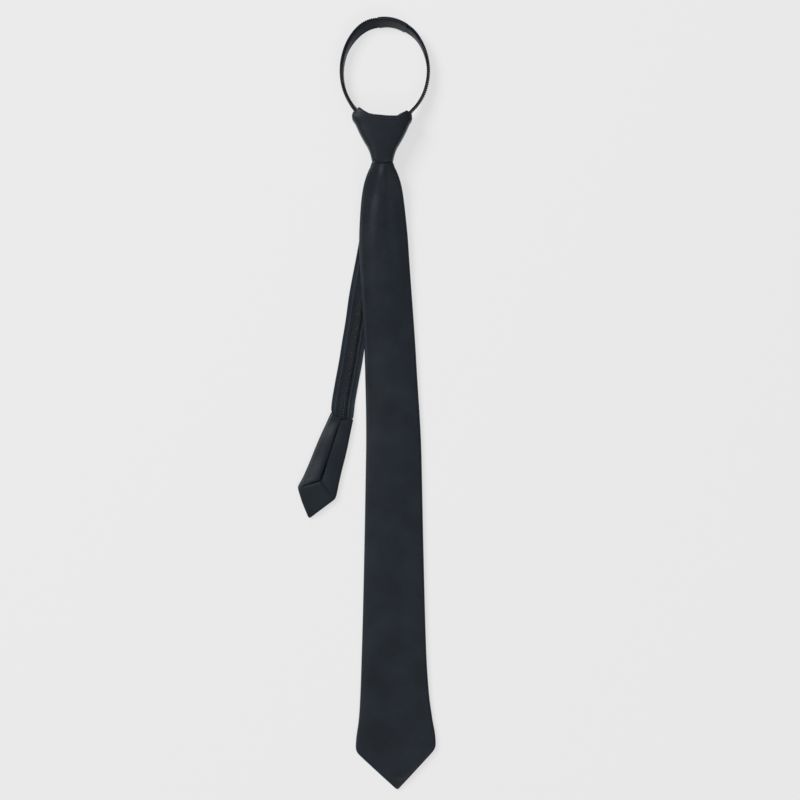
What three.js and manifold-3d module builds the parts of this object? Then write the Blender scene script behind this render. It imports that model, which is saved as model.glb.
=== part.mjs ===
// A ready-knotted necktie that closes with a zip, lying on its back on a flat surface.
// Millimetres. +X to the wearer's left as seen from the front, +Y up to the neck, +Z to the front.
// While the pieces are made, the knot's waist is at x = 0, y = 0 and the surface is at z = 0.

import * as THREE from "three";
import { mergeVertices } from "three/addons/utils/BufferGeometryUtils.js";
import Module from "manifold-3d";

const wasm = await Module();
wasm.setup();

// Cloth and clearances
const CLOTH = 1; // wall of the satin cloth with its interlining
const CLEARANCE = 0.3; // between pieces that touch on the real tie

// Blade
const BLADE_LENGTH = 475.2; // knot to tip
const BLADE_WIDTH = 60; // at the two corners above the point
const BLADE_POINT = 29.6; // height of the point
const BLADE_DRIFT = 10; // how far its foot lies to the right of the knot
const BLADE_TIP_DRIFT = 1.2; // how far its tip lies to the right of its foot
const BLADE_THICKNESS = 4; // front panel, hollow and back flaps together
const BLADE_CROWN = 0.8; // how far the front panel swells
const BLADE_PLEAT = 1.6; // height of the soft ridge that runs down from the knot
const PLEAT_START = 0.03; // shares of the length above the corners
const PLEAT_END = 0.16;
const PLEAT_SIDE = 0.25; // how far it lies left of the middle, as a share of the half width
const CROWN_START = 0.1;
const BLADE_FACING = 22; // how far the seam's inverted V starts above the corners
const NECK_THICKNESS = 4.6; // the gathered cloth where it enters the knot
const NECK_TUCK = 8; // length of the gathered cloth inside the knot
const NECK_ROOM = 1.3; // its clearance inside the knot, both sides together

// Tail
const TAIL_LENGTH = 81;
const TAIL_WIDTH = 29.2;
const TAIL_POINT = 19.4;
const TAIL_THICKNESS = 4;
const TAIL_PUFF = 0.9; // how far its back flaps stand up between seam and fold
const TAIL_FACING = 10.5;
const TAIL_TURN = 18; // degrees that it lies turned to the left
const TAIL_NOTCH = 2.9; // depth of the shallow V in its top edge
const PUFF_START = 0.3; // shares of the length above the corners
const NOTCH_END = 0.15;

// Folded strips, both blade and tail
const SEAM_GAP = 0.5; // between the two flaps
const SEAM_SPREAD = 1.4; // the same gap where the seam opens above the point
const HEM = 0.5; // flat stretch of the hem along the point
const TIP_THICKNESS = 2.4;
const TIP_WIDTH = 4;
const TIP_SHARE = 1 / 3; // of the point, where the strip thins
const FACING_END = 0.7; // share of the point that the facing reaches into
const FACING_THICKNESS = 1;
const FACING_LAP = 4; // how far the facing runs up under the flaps

// Knot
const KNOT_HEIGHT = 34.3;
const KNOT_WIDTH = 45.1;
const KNOT_WAIST = 15.7;
const KNOT_DEPTH = 18.5;
const KNOT_WAIST_DEPTH = 16.5;
const KNOT_WALL = 1.2;
const KNOT_SQUARENESS = 4.5; // exponent of its rounded section
const KNOT_SMILE = 0.03; // how far its front bottom edge hangs, as a share of its height
const KNOT_BACK_RISE = 0.01; // how far its back bottom edge lies higher

// Zip
const ZIP_WIDTH = 17.6; // both halves closed
const TAPE_THICKNESS = 1;
const COIL_WIDTH = 2.75; // one half
const COIL_THICKNESS = 1.1;
const COIL_OVERHANG = 1.25; // how far the coil stands past its tape's edge
const ZIP_FREE_LENGTH = 192; // from the knot down to the tail
const ZIP_DRIFT = 30.7; // how far the tail lies to the left of the knot
const ZIP_TUCK = 8; // length of the tapes inside the tail
const COIL_TUCK = 0.6; // length of the coils inside the notch of the tail's top edge
const TUCK_NARROWING = 1.4; // the tapes' edges are turned in there
const TUCK_START = 3; // above the tail, where they start to turn in
const TUCK_END = 1;
const TAIL_APPROACH = 10; // above the tail, where the zip starts to turn into its direction
const CHAIN_ROOM = 0.4; // more clearance between the coils and the gathered cloth over them

// Slider
const SLIDER_LENGTH = 10;
const SLIDER_WIDTH = 10;
const SLIDER_PLATE = 1.2;
const SLIDER_POST = 1.6; // width of the post that parts the coils
const SLIDER_STUD = 5;
const SLIDER_FOOT = 11.5; // its lower end, above the knot's waist
const SLIDER_BEND = 8; // degrees that the tapes' wings still fold down there
const SLIDER_INLET = 1.5; // from its lower end to where the tapes start to part
const SLIDER_GUIDE = 8; // how far the parting tapes keep its direction
const SLIDER_POST_LENGTH = 2.2;
const SLIDER_STUD_PLACE = 4; // the stud's middle above the lower end
const SLIDER_BITE = 0.5; // how far post and stud reach into the plates

// Neck loop, an ellipse through the middle of the standing tapes
const LOOP_WIDTH = 64;
const LOOP_HEIGHT = 75.4;
const LOOP_SHIFT = 2.1; // its centre, right of the knot
const LOOP_RISE = 68.8; // its centre, above the knot's waist
const LOOP_LEFT_END = 227.2; // degrees round the ellipse where the tapes leave the knot
const LOOP_RIGHT_END = -49.9;
const SLEEVE_LEFT_END = 98.8;
const SLEEVE_RIGHT_END = 60.4;
const SLEEVE_WALL = 1;
const SLEEVE_ROOM = 0.5; // between the sleeve and the tapes' edges
const SLEEVE_ROUNDNESS = 0.5; // exponent of its flat oval section
const TAPE_PARTING = 0.5; // degrees from the sleeve's middle to each tape's end
const COIL_PARTING = 1; // degrees from the sleeve to each coil's end
const SPLIT_RUN = 19; // how sharply the tapes turn from the slider to the corners
const SPLIT_LEVEL = 0.34; // share of the way to the corners on which the tapes still lie flat

// Steps of the faceted surfaces
const FLAP_STEPS = 3;
const FOLD_STEPS = 4;
const PANEL_STEPS = 8;
const BLADE_STEP = 26;
const KNOT_STEPS = 7;
const ROUTE_STEPS = 18;
const ROUTE_CROWDING = 1.25; // exponent that crowds the steps towards the knot
const SPLIT_STEPS = 10;
const THROAT_STEPS = 4;
const LOOP_STEP = 9; // degrees
const SLEEVE_STEPS = 6;
const SLEEVE_SIDES = 12;

const bladeBody = BLADE_LENGTH - BLADE_POINT;
const tailBody = TAIL_LENGTH - TAIL_POINT;
const halfZip = (ZIP_WIDTH - CLEARANCE) / 2;
const tapeKnee = COIL_WIDTH + CLEARANCE / 2;
const coilBase = TAPE_THICKNESS / 2 + CLEARANCE;
const coilTop = coilBase + COIL_THICKNESS;
const tapeRest = TAPE_THICKNESS / 2;
const zipStack = tapeRest + coilTop + CLEARANCE;
const chainLevel = KNOT_WAIST_DEPTH - KNOT_WALL - NECK_THICKNESS - 2 * CLEARANCE - coilTop - CHAIN_ROOM;

// Blade, by its distance from the knot: "down" is a share of the length above the corners,
// "neck" and "body" are the shares of the neck's and the blade's width, "drift" of BLADE_DRIFT.
const BLADE = [
  { down: 0, neck: 1, body: 0, drift: 0 },
  { down: 0.008, neck: 0.8, body: 0.15, drift: 0 },
  { down: 0.018, neck: 0.6, body: 0.252, drift: 0 },
  { down: 0.038, neck: 0.3, body: 0.412, drift: 0 },
  { down: 0.06, neck: 0.1, body: 0.51, drift: 0 },
  { down: 0.1, neck: 0, body: 0.589, drift: 0.03 },
  { down: 0.14, neck: 0, body: 0.622, drift: 0.09 },
  { down: 0.336, neck: 0, body: 0.652, drift: 0.6 },
  { down: 0.5, neck: 0, body: 0.704, drift: 0.85 },
  { down: 0.665, neck: 0, body: 0.752, drift: 0.86 },
  { down: 0.83, neck: 0, body: 0.816, drift: 0.87 },
  { down: 0.905, neck: 0, body: 0.871, drift: 0.92 },
  { down: 0.946, neck: 0, body: 0.93, drift: 0.98 },
  { down: 0.987, neck: 0, body: 0.998, drift: 1 },
  { down: 1, neck: 0, body: 0.985, drift: 1 },
];

// Closed stretch of the zip, by its distance from the knot: "down" is a share of its free length,
// "across" of ZIP_DRIFT, "level" of the chain's height in the knot, "bend" is the fold of the wings
// in degrees. "left" and "right" are how high the blade's two edges lie over it, as shares of the
// zip's thickness.
const ZIP = [
  { down: 0, across: 0, level: 1, bend: 72, left: 1, right: 1 },
  { down: 0.041, across: 0.029, level: 0.82, bend: 58, left: 1.1, right: 1.07 },
  { down: 0.087, across: 0.068, level: 0.54, bend: 38, left: 1.14, right: 1.03 },
  { down: 0.138, across: 0.116, level: 0.27, bend: 17, left: 1.24, right: 0.97 },
  { down: 0.205, across: 0.19, level: 0.09, bend: 5, left: 1.34, right: 0.86 },
  { down: 0.256, across: 0.239, level: 0, bend: 0, left: 1.34, right: 0.86 },
  { down: 0.344, across: 0.33, level: 0, bend: 0, left: 1.24, right: 0.69 },
  { down: 0.533, across: 0.55, level: 0, bend: 0, left: 1.09, right: 0.28 },
  { down: 0.626, across: 0.63, level: 0, bend: 0, left: 0.8, right: 0.07 },
  { down: 0.72, across: 0.727, level: 0, bend: 0, left: 0.56, right: 0 },
  { down: 0.78, across: 0.785, level: 0, bend: 0, left: 0.48, right: 0 },
  { down: 0.88, across: 0.9, level: 0, bend: 0, left: 0, right: 0 },
  { down: 0.953, across: 0.975, level: 0, bend: 0, left: 0, right: 0 },
  { down: 1, across: 1, level: 0, bend: 0, left: 0, right: 0 },
];

// Tail: "down" is a share of the length above its corners, "width" of TAIL_WIDTH.
const TAIL = [
  { down: 0, width: 0.613 },
  { down: 0.16, width: 0.685 },
  { down: 0.32, width: 0.764 },
  { down: 0.48, width: 0.825 },
  { down: 0.64, width: 0.868 },
  { down: 0.8, width: 0.93 },
  { down: 0.96, width: 0.998 },
  { down: 1, width: 0.99 },
];

// Knot: "up" is a share of its height, "flare" goes from its waist to its full width.
const KNOT = [
  { up: 0, flare: 0 },
  { up: 0.16, flare: 0.087 },
  { up: 0.29, flare: 0.198 },
  { up: 0.42, flare: 0.375 },
  { up: 0.55, flare: 0.546 },
  { up: 0.68, flare: 0.7 },
  { up: 0.81, flare: 0.836 },
  { up: 0.95, flare: 1 },
  { up: 1.2, flare: 1 },
];

// Round the knot: "at" is a share of the half width on the front and back, and of the half depth
// on the sides. "top" is the height of the top edge there, with the two ears on the front.
const KNOT_RIM = [
  { face: "front", at: -0.985, top: 1.085 },
  { face: "front", at: -0.9, top: 1.045 },
  { face: "front", at: -0.768, top: 1.16 },
  { face: "front", at: -0.614, top: 1.09 },
  { face: "front", at: -0.465, top: 1.038 },
  { face: "front", at: -0.3, top: 1.014 },
  { face: "front", at: -0.1, top: 1.002 },
  { face: "front", at: 0.15, top: 0.986 },
  { face: "front", at: 0.35, top: 0.982 },
  { face: "front", at: 0.517, top: 0.984 },
  { face: "front", at: 0.6, top: 1.022 },
  { face: "front", at: 0.72, top: 1.06 },
  { face: "front", at: 0.86, top: 1.1 },
  { face: "front", at: 0.93, top: 1.07 },
  { face: "front", at: 0.985, top: 1.03 },
  { face: "right", at: 0.45, top: 0.95 },
  { face: "right", at: -0.3, top: 0.88 },
  { face: "right", at: -0.78, top: 0.88 },
  { face: "back", at: 0.85, top: 0.88 },
  { face: "back", at: 0.3, top: 0.9 },
  { face: "back", at: -0.3, top: 0.9 },
  { face: "back", at: -0.85, top: 0.94 },
  { face: "left", at: -0.78, top: 0.96 },
  { face: "left", at: -0.3, top: 0.98 },
  { face: "left", at: 0.45, top: 1.01 },
];

// Standing tapes of the neck loop, from the knot's corner to their ends in the sleeve: "around" is
// a share of the way, "lean" is outwards in degrees, "lift" is a share of each named height.
const LOOP_LEFT = [
  { around: 0, lean: 0, knotLift: 1, sleeveLift: 0 },
  { around: 0.2, lean: 1, knotLift: 0, sleeveLift: 0 },
  { around: 0.38, lean: 4, knotLift: 0, sleeveLift: 0 },
  { around: 0.62, lean: 14, knotLift: 0, sleeveLift: 0.2 },
  { around: 0.85, lean: 20, knotLift: 0, sleeveLift: 1 },
  { around: 1, lean: 20, knotLift: 0, sleeveLift: 1 },
];
const LOOP_RIGHT = [
  { around: 0, lean: -4, knotLift: 1, sleeveLift: 0 },
  { around: 0.22, lean: -8, knotLift: 0, sleeveLift: 0 },
  { around: 0.45, lean: 0, knotLift: 0, sleeveLift: 0 },
  { around: 0.68, lean: 9, knotLift: 0, sleeveLift: 0.2 },
  { around: 0.84, lean: 18, knotLift: 0, sleeveLift: 1 },
  { around: 1, lean: 20, knotLift: 0, sleeveLift: 1 },
];
const KNOT_LIFT = 3.6; // height of the tapes' lower edges where they leave the knot
const SLEEVE_LIFT = 1.7; // height of the same edges inside the sleeve

const { clamp, degToRad, lerp, smoothstep } = THREE.MathUtils;

// A smooth curve through one column of a table, with no overshoot between its rows.
function column(rows, by, name) {
  const x = rows.map((row) => row[by]);
  const y = rows.map((row) => row[name]);
  const slope = x.slice(1).map((next, i) => (y[i + 1] - y[i]) / (next - x[i]));
  const tangent = x.map((_, i) => {
    const before = slope[Math.max(i - 1, 0)];
    const after = slope[Math.min(i, slope.length - 1)];
    return before * after > 0 ? (2 * before * after) / (before + after) : 0;
  });
  return (at) => {
    const value = clamp(at, x[0], x[x.length - 1]);
    const i = Math.max(x.findIndex((edge) => edge >= value), 1) - 1;
    const width = x[i + 1] - x[i];
    const t = (value - x[i]) / width;
    const start = (1 + 2 * t) * (1 - t) * (1 - t) * y[i] + t * (1 - t) * (1 - t) * width * tangent[i];
    const end = t * t * (3 - 2 * t) * y[i + 1] + t * t * (t - 1) * width * tangent[i + 1];
    return start + end;
  };
}

// Turns a closed geometry's faces outwards if they all point in.
function facingOut(geometry) {
  const position = geometry.getAttribute("position");
  const index = geometry.index.array;
  const corners = [new THREE.Vector3(), new THREE.Vector3(), new THREE.Vector3()];
  let volume = 0;
  for (let i = 0; i < index.length; i += 3) {
    corners.forEach((corner, k) => corner.fromBufferAttribute(position, index[i + k]));
    volume += corners[0].dot(corners[1].cross(corners[2]));
  }
  if (volume < 0) index.reverse();
  return geometry;
}

// A sheet with two faces: "front" and "back" are grids of points, a row for each station.
// A sheet that closes on itself across its rows is a tube.
function sheet(front, back, closes = false) {
  const rows = front.length;
  const across = front[0].length;
  const points = [...front.flat(), ...back.flat()];
  const at = (face, row, k) => face * rows * across + row * across + (k % across);
  const index = [];
  const quad = (a, b, c, d) => index.push(a, b, c, a, c, d);
  const spans = closes ? across : across - 1;
  for (let row = 0; row < rows - 1; row++) {
    for (let k = 0; k < spans; k++) {
      quad(at(0, row, k), at(0, row, k + 1), at(0, row + 1, k + 1), at(0, row + 1, k));
      quad(at(1, row, k), at(1, row + 1, k), at(1, row + 1, k + 1), at(1, row, k + 1));
    }
    if (closes) continue;
    const last = across - 1;
    quad(at(0, row, 0), at(0, row + 1, 0), at(1, row + 1, 0), at(1, row, 0));
    quad(at(0, row, last), at(1, row, last), at(1, row + 1, last), at(0, row + 1, last));
  }
  for (let k = 0; k < spans; k++) {
    const end = rows - 1;
    quad(at(0, 0, k), at(1, 0, k), at(1, 0, k + 1), at(0, 0, k + 1));
    quad(at(0, end, k), at(0, end, k + 1), at(1, end, k + 1), at(1, end, k));
  }
  const geometry = new THREE.BufferGeometry().setFromPoints(points);
  geometry.setIndex(index);
  return facingOut(geometry);
}

// Cross-section of a strip of cloth folded round to a seam at the middle of its back.
// u runs across, v from the back to the front. Each point has the way that its face looks.
function foldedSection({ half, radius, crown, seam, puff, pleat = 0 }) {
  const straight = half - radius;
  const points = [];
  const add = (u, v, lookU, lookV) => points.push({ u, v, lookU, lookV });
  const flap = (side, share) => {
    add(side * lerp(seam, straight, share), -puff * Math.sin(Math.PI * share), 0, -1);
  };
  const fold = (side, share) => {
    const angle = Math.PI * (share - 0.5);
    const lookU = side * Math.cos(angle);
    const lookV = Math.sin(angle);
    add(side * straight + radius * lookU, radius + radius * lookV, lookU, lookV);
  };
  for (let k = 0; k < FLAP_STEPS; k++) flap(-1, k / FLAP_STEPS);
  for (let k = 0; k <= FOLD_STEPS; k++) fold(-1, k / FOLD_STEPS);
  for (let k = 1; k < PANEL_STEPS; k++) {
    const share = (2 * k) / PANEL_STEPS - 1;
    const ridge = pleat * Math.cos(Math.PI * clamp(share + PLEAT_SIDE, -0.5, 0.5)) ** 2;
    add(straight * share, 2 * radius + crown * (1 - share * share) + ridge, 0, 1);
  }
  for (let k = FOLD_STEPS; k >= 0; k--) fold(1, k / FOLD_STEPS);
  for (let k = FLAP_STEPS - 1; k >= 0; k--) flap(1, k / FLAP_STEPS);
  return points;
}

// A folded strip from its stations, each a section with an origin, an across and a front direction.
function foldedStrip(stations) {
  const place = (station, depth) =>
    foldedSection(station).map(({ u, v, lookU, lookV }) => {
      const slope = station.notch ? station.notch * (1 - Math.abs(u) / station.half) : 0;
      return station.origin
        .clone()
        .addScaledVector(station.across, u - depth * lookU)
        .addScaledVector(station.front, v - depth * lookV)
        .addScaledVector(station.along, slope);
    });
  return sheet(
    stations.map((station) => place(station, 0)),
    stations.map((station) => place(station, CLOTH)),
  );
}

// Half width of a pointed strip: its body's half width above the corners, then the point.
function pointedHalf(down, body, point, bodyHalf) {
  if (down <= body) return bodyHalf(down);
  return lerp(bodyHalf(body), TIP_WIDTH / 2, (down - body) / point);
}

// Distance from the middle to the free edge of a flap: the seam, then the inverted V, then the hem.
function flapEdge(down, body, facing, half, radius) {
  const seam = lerp(SEAM_GAP, SEAM_SPREAD, smoothstep(down, body / 2, body - facing)) / 2;
  const hem = Math.max(half - radius - HEM, SEAM_GAP / 2);
  return lerp(seam, hem, clamp((down - body + facing) / facing, 0, 1));
}

// Distances along a strip: the given rows, and more between rows that lie far apart.
function distances(rows, length, step) {
  const places = rows.map((row) => row.down * length);
  return places.flatMap((place, i) => {
    if (i === 0) return [place];
    const count = Math.ceil((place - places[i - 1]) / step);
    return Array.from({ length: count }, (_, k) => lerp(places[i - 1], place, (k + 1) / count));
  });
}

// Zip's closed stretch as seen from above, at a distance below the knot.
const zipAcross = column(ZIP, "down", "across");
const zipLevel = column(ZIP, "down", "level");
const zipBend = column(ZIP, "down", "bend");
const bladeLeft = column(ZIP, "down", "left");
const bladeRight = column(ZIP, "down", "right");

function zipRise(down) {
  return (chainLevel - tapeRest) * zipLevel(down / ZIP_FREE_LENGTH);
}

// Blade
const bladeNeckShare = column(BLADE, "down", "neck");
const bladeBodyShare = column(BLADE, "down", "body");
const bladeDrift = column(BLADE, "down", "drift");
const neckWidth = KNOT_WAIST - 2 * KNOT_WALL - NECK_ROOM;

function bladeHalf(down) {
  const share = down / bladeBody;
  return (bladeNeckShare(share) * neckWidth + bladeBodyShare(share) * BLADE_WIDTH) / 2;
}

function bladeStation(down) {
  const half = pointedHalf(down, bladeBody, BLADE_POINT, bladeHalf);
  const toTip = smoothstep(down, BLADE_LENGTH - BLADE_POINT * TIP_SHARE, BLADE_LENGTH);
  const body = lerp(BLADE_THICKNESS, TIP_THICKNESS, toTip);
  const radius = lerp(body, NECK_THICKNESS, bladeNeckShare(down / bladeBody)) / 2;
  const under = down / ZIP_FREE_LENGTH;
  const left = zipRise(down) + bladeLeft(under) * zipStack;
  const right = zipRise(down) + bladeRight(under) * zipStack;
  const roll = Math.atan2(right - left, 2 * half);
  const fade = 1 - smoothstep(down, 0, bladeBody * PLEAT_END);
  const clear = smoothstep(down, 0, bladeBody * PLEAT_START);
  const atPoint = clamp((down - bladeBody) / BLADE_POINT, 0, 1);
  const drift = BLADE_DRIFT * bladeDrift(down / bladeBody) + BLADE_TIP_DRIFT * atPoint;
  return {
    origin: new THREE.Vector3(drift, -down, (left + right) / 2),
    across: new THREE.Vector3(Math.cos(roll), 0, Math.sin(roll)),
    front: new THREE.Vector3(-Math.sin(roll), 0, Math.cos(roll)),
    along: new THREE.Vector3(0, -1, 0),
    half,
    radius,
    crown: BLADE_CROWN * smoothstep(down, 0, bladeBody * CROWN_START) * (1 - toTip),
    seam: flapEdge(down, bladeBody, BLADE_FACING, half, radius),
    puff: 0,
    pleat: BLADE_PLEAT * fade * clear,
  };
}

function bladeShell() {
  const point = [0.3, 0.6, 0.85, 1].map((share) => bladeBody + share * BLADE_POINT);
  const vee = [bladeBody - BLADE_FACING, bladeBody - BLADE_FACING / 2];
  const body = distances(BLADE, bladeBody, BLADE_STEP);
  const places = [-NECK_TUCK, ...body, ...vee, ...point].sort((a, b) => a - b);
  return foldedStrip(places.map(bladeStation));
}

// Tail
const tailWidthShare = column(TAIL, "down", "width");
const tailTurn = degToRad(TAIL_TURN);
const tailAlong = new THREE.Vector3(-Math.sin(tailTurn), -Math.cos(tailTurn), 0);
const tailAcross = new THREE.Vector3(Math.cos(tailTurn), -Math.sin(tailTurn), 0);
const tailTop = new THREE.Vector3(-ZIP_DRIFT, -ZIP_FREE_LENGTH, 0);

function tailHalf(down) {
  return (tailWidthShare(down / tailBody) * TAIL_WIDTH) / 2;
}

function tailStation(down) {
  const half = pointedHalf(down, tailBody, TAIL_POINT, tailHalf);
  const toTip = smoothstep(down, TAIL_LENGTH - TAIL_POINT * TIP_SHARE, TAIL_LENGTH);
  const thickness = lerp(TAIL_THICKNESS, TIP_THICKNESS, toTip);
  const origin = tailTop.clone().addScaledVector(tailAlong, down);
  origin.z = thickness;
  const open = 1 - smoothstep(down, tailBody - TAIL_FACING, tailBody);
  return {
    origin,
    across: tailAcross,
    front: new THREE.Vector3(0, 0, -1),
    along: tailAlong,
    half,
    radius: thickness / 2,
    crown: 0,
    seam: flapEdge(down, tailBody, TAIL_FACING, half, thickness / 2),
    puff: TAIL_PUFF * open * smoothstep(down, 0, tailBody * PUFF_START),
    notch: TAIL_NOTCH * (1 - smoothstep(down, 0, tailBody * NOTCH_END)),
  };
}

function tailShell() {
  const point = [0.33, 0.67, 1].map((share) => tailBody + share * TAIL_POINT);
  const vee = [tailBody - TAIL_FACING, tailBody - TAIL_FACING / 2];
  const body = distances(TAIL, tailBody, BLADE_STEP);
  return foldedStrip([...body, ...vee, ...point].sort((a, b) => a - b).map(tailStation));
}

// Facing inside a point: a flat piece that fills the hollow from above the inverted V to the tip.
function facing(station, start, body, point, level) {
  const inset = CLOTH + CLEARANCE * 2;
  const places = [start, body, body + (point * FACING_END) / 2, body + point * FACING_END];
  const grid = (height) =>
    places.map((down) => {
      const { origin, across, front, half } = station(down);
      return [-1, 0, 1].map((side) =>
        origin
          .clone()
          .addScaledVector(across, side * (half - inset))
          .addScaledVector(front, height),
      );
    });
  return sheet(grid(level), grid(level + FACING_THICKNESS));
}

function bladeTipping() {
  const start = bladeBody - BLADE_FACING - FACING_LAP;
  return facing(bladeStation, start, bladeBody, BLADE_POINT, CLOTH + CLEARANCE);
}

function tailTipping() {
  const start = tailBody - TAIL_FACING - FACING_LAP;
  return facing(tailStation, start, tailBody, TAIL_POINT, CLOTH + CLEARANCE);
}

// Knot
const knotFlare = column(KNOT, "up", "flare");

function knotPoint({ face, at, top }, share, inset) {
  const bottom = face === "front" ? -KNOT_SMILE * (1 - 2 * at * at) : KNOT_BACK_RISE;
  const up = lerp(bottom, top, share);
  const halfWidth = lerp(KNOT_WAIST, KNOT_WIDTH, knotFlare(up)) / 2;
  const halfDepth = lerp(KNOT_WAIST_DEPTH, KNOT_DEPTH, clamp(up, 0, 1)) / 2;
  const round = (value) => (1 - Math.abs(value) ** KNOT_SQUARENESS) ** (1 / KNOT_SQUARENESS);
  const flat = face === "front" || face === "back";
  const x = flat ? at : round(at) * (face === "right" ? 1 : -1);
  const z = flat ? round(at) * (face === "front" ? 1 : -1) : at;
  return new THREE.Vector3(
    x * (halfWidth - inset),
    up * KNOT_HEIGHT,
    halfDepth + z * (halfDepth - inset),
  );
}

function knotWrap() {
  const shares = Array.from({ length: KNOT_STEPS + 1 }, (_, k) => k / KNOT_STEPS);
  const grid = (inset) => shares.map((share) => KNOT_RIM.map((row) => knotPoint(row, share, inset)));
  return sheet(grid(0), grid(KNOT_WALL), true);
}

// A station of one zip half. "edge" is where its coil ends, "roll" turns the tape from lying flat
// with the coil up (0) to standing on its outer edge with the coil on top (90 degrees).
function zipStation(edge, heading, side, roll, bend = 0, reach = halfZip) {
  const up = new THREE.Vector3(0, 0, 1);
  const across = new THREE.Vector3().crossVectors(heading, up).normalize().multiplyScalar(side);
  const turn = degToRad(roll);
  const out = across.clone().multiplyScalar(Math.cos(turn)).addScaledVector(up, -Math.sin(turn));
  const look = across.clone().multiplyScalar(Math.sin(turn)).addScaledVector(up, Math.cos(turn));
  return { edge, out, look, bend: degToRad(bend), reach };
}

// A point of a zip half: "reach" from the coil's edge across the tape, "height" over its middle.
// The wing outside the coil folds away from the coil's side.
function zipPoint({ edge, out, look, bend }, reach, height) {
  const folded = reach > tapeKnee ? bend : 0;
  const mitre = reach === tapeKnee ? bend / 2 : folded;
  const stretch = reach === tapeKnee ? 1 / Math.cos(bend / 2) : 1;
  return edge
    .clone()
    .addScaledVector(out, Math.min(reach, tapeKnee))
    .addScaledVector(out, Math.max(reach - tapeKnee, 0) * Math.cos(folded))
    .addScaledVector(look, -Math.max(reach - tapeKnee, 0) * Math.sin(folded))
    .addScaledVector(look, height * stretch * Math.cos(mitre))
    .addScaledVector(out, height * stretch * Math.sin(mitre));
}

// Middle line of the closed zip at a distance below the knot. It rises a little to enter the tail.
function zipMiddle(down) {
  const tuckLevel = TAIL_THICKNESS / 2 - tapeRest;
  const enter = tuckLevel * smoothstep(down, ZIP_FREE_LENGTH - 2 * ZIP_TUCK, ZIP_FREE_LENGTH - TUCK_START);
  const x = -ZIP_DRIFT * zipAcross(down / ZIP_FREE_LENGTH);
  return new THREE.Vector3(x, -down, tapeRest + zipRise(down) + enter);
}

const approach = ZIP_FREE_LENGTH - TAIL_APPROACH;

function closedStation(side, down) {
  const middle = zipMiddle(down);
  const heading = zipMiddle(down - 1).sub(zipMiddle(down + 1)).setZ(0).normalize();
  if (down < 0) heading.set(0, 1, 0);
  heading.lerp(tailAlong.clone().negate(), smoothstep(down, approach, ZIP_FREE_LENGTH));
  heading.normalize();
  const across = new THREE.Vector3(heading.y, -heading.x, 0).multiplyScalar((side * CLEARANCE) / 2);
  const inKnot = lerp(zipBend(0), SLIDER_BEND, smoothstep(-down, SLIDER_FOOT * 0.2, SLIDER_FOOT));
  const bend = down < 0 ? inKnot : zipBend(down / ZIP_FREE_LENGTH);
  const turnIn = TUCK_NARROWING * smoothstep(down, ZIP_FREE_LENGTH - TUCK_START, ZIP_FREE_LENGTH - TUCK_END);
  return zipStation(middle.add(across), heading, side, 0, bend, halfZip - turnIn);
}

// Stretch inside the tail, along the tail's own axis.
function tuckedStation(side, depth) {
  const middle = tailTop.clone().addScaledVector(tailAlong, depth);
  middle.z = TAIL_THICKNESS / 2;
  const edge = middle.addScaledVector(tailAcross, (side * CLEARANCE) / 2);
  return zipStation(edge, tailAlong.clone().negate(), side, 0, 0, halfZip - TUCK_NARROWING);
}

const loopCentre = new THREE.Vector3(LOOP_SHIFT, LOOP_RISE, 0);
const sleeveMiddle = (SLEEVE_LEFT_END + SLEEVE_RIGHT_END) / 2;

// A station of the neck loop, a share of the way from the knot's corner to the sleeve's middle.
function loopStation(side, around) {
  const rows = side < 0 ? LOOP_LEFT : LOOP_RIGHT;
  const start = side < 0 ? LOOP_LEFT_END : LOOP_RIGHT_END;
  const end = sleeveMiddle - side * TAPE_PARTING;
  const angle = degToRad(lerp(start, end, around));
  const lean = column(rows, "around", "lean")(around);
  const lift =
    KNOT_LIFT * column(rows, "around", "knotLift")(around) +
    SLEEVE_LIFT * column(rows, "around", "sleeveLift")(around);
  const middle = loopCentre.clone();
  middle.x += (LOOP_WIDTH / 2) * Math.cos(angle);
  middle.y += (LOOP_HEIGHT / 2) * Math.sin(angle);
  const heading = new THREE.Vector3(
    (-LOOP_WIDTH / 2) * Math.sin(angle),
    (LOOP_HEIGHT / 2) * Math.cos(angle),
    0,
  )
    .normalize()
    .multiplyScalar(side);
  const station = zipStation(middle, heading, side, 90 + lean);
  const tilt = degToRad(lean);
  const height = halfZip * Math.cos(tilt) + tapeRest * Math.abs(Math.sin(tilt));
  station.edge.addScaledVector(station.out, -halfZip / 2).setZ(lift + height);
  return station;
}

// From the slider to the knot's corner: the tapes part, rise and turn on edge.
function splitStation(side, share) {
  const corner = loopStation(side, 0);
  const next = loopStation(side, LOOP_STEP / Math.abs(sleeveMiddle - LOOP_LEFT_END) / 5);
  const arrival = next.edge.sub(corner.edge).setZ(0).normalize();
  const startY = SLIDER_FOOT + SLIDER_INLET;
  const start = new THREE.Vector3((side * CLEARANCE) / 2, startY, chainLevel);
  const route = new THREE.CubicBezierCurve3(
    start,
    start.clone().setY(startY + SLIDER_GUIDE),
    corner.edge.clone().addScaledVector(arrival, -SPLIT_RUN),
    corner.edge,
  );
  const heading = route.getTangent(share).setZ(0).normalize();
  const upright = 90 + (side < 0 ? LOOP_LEFT : LOOP_RIGHT)[0].lean;
  const turned = smoothstep(share, SPLIT_LEVEL, 1);
  const edge = route.getPoint(share).setZ(lerp(chainLevel, corner.edge.z, turned));
  return zipStation(edge, heading, side, upright * turned, SLIDER_BEND * (1 - share));
}

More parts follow.
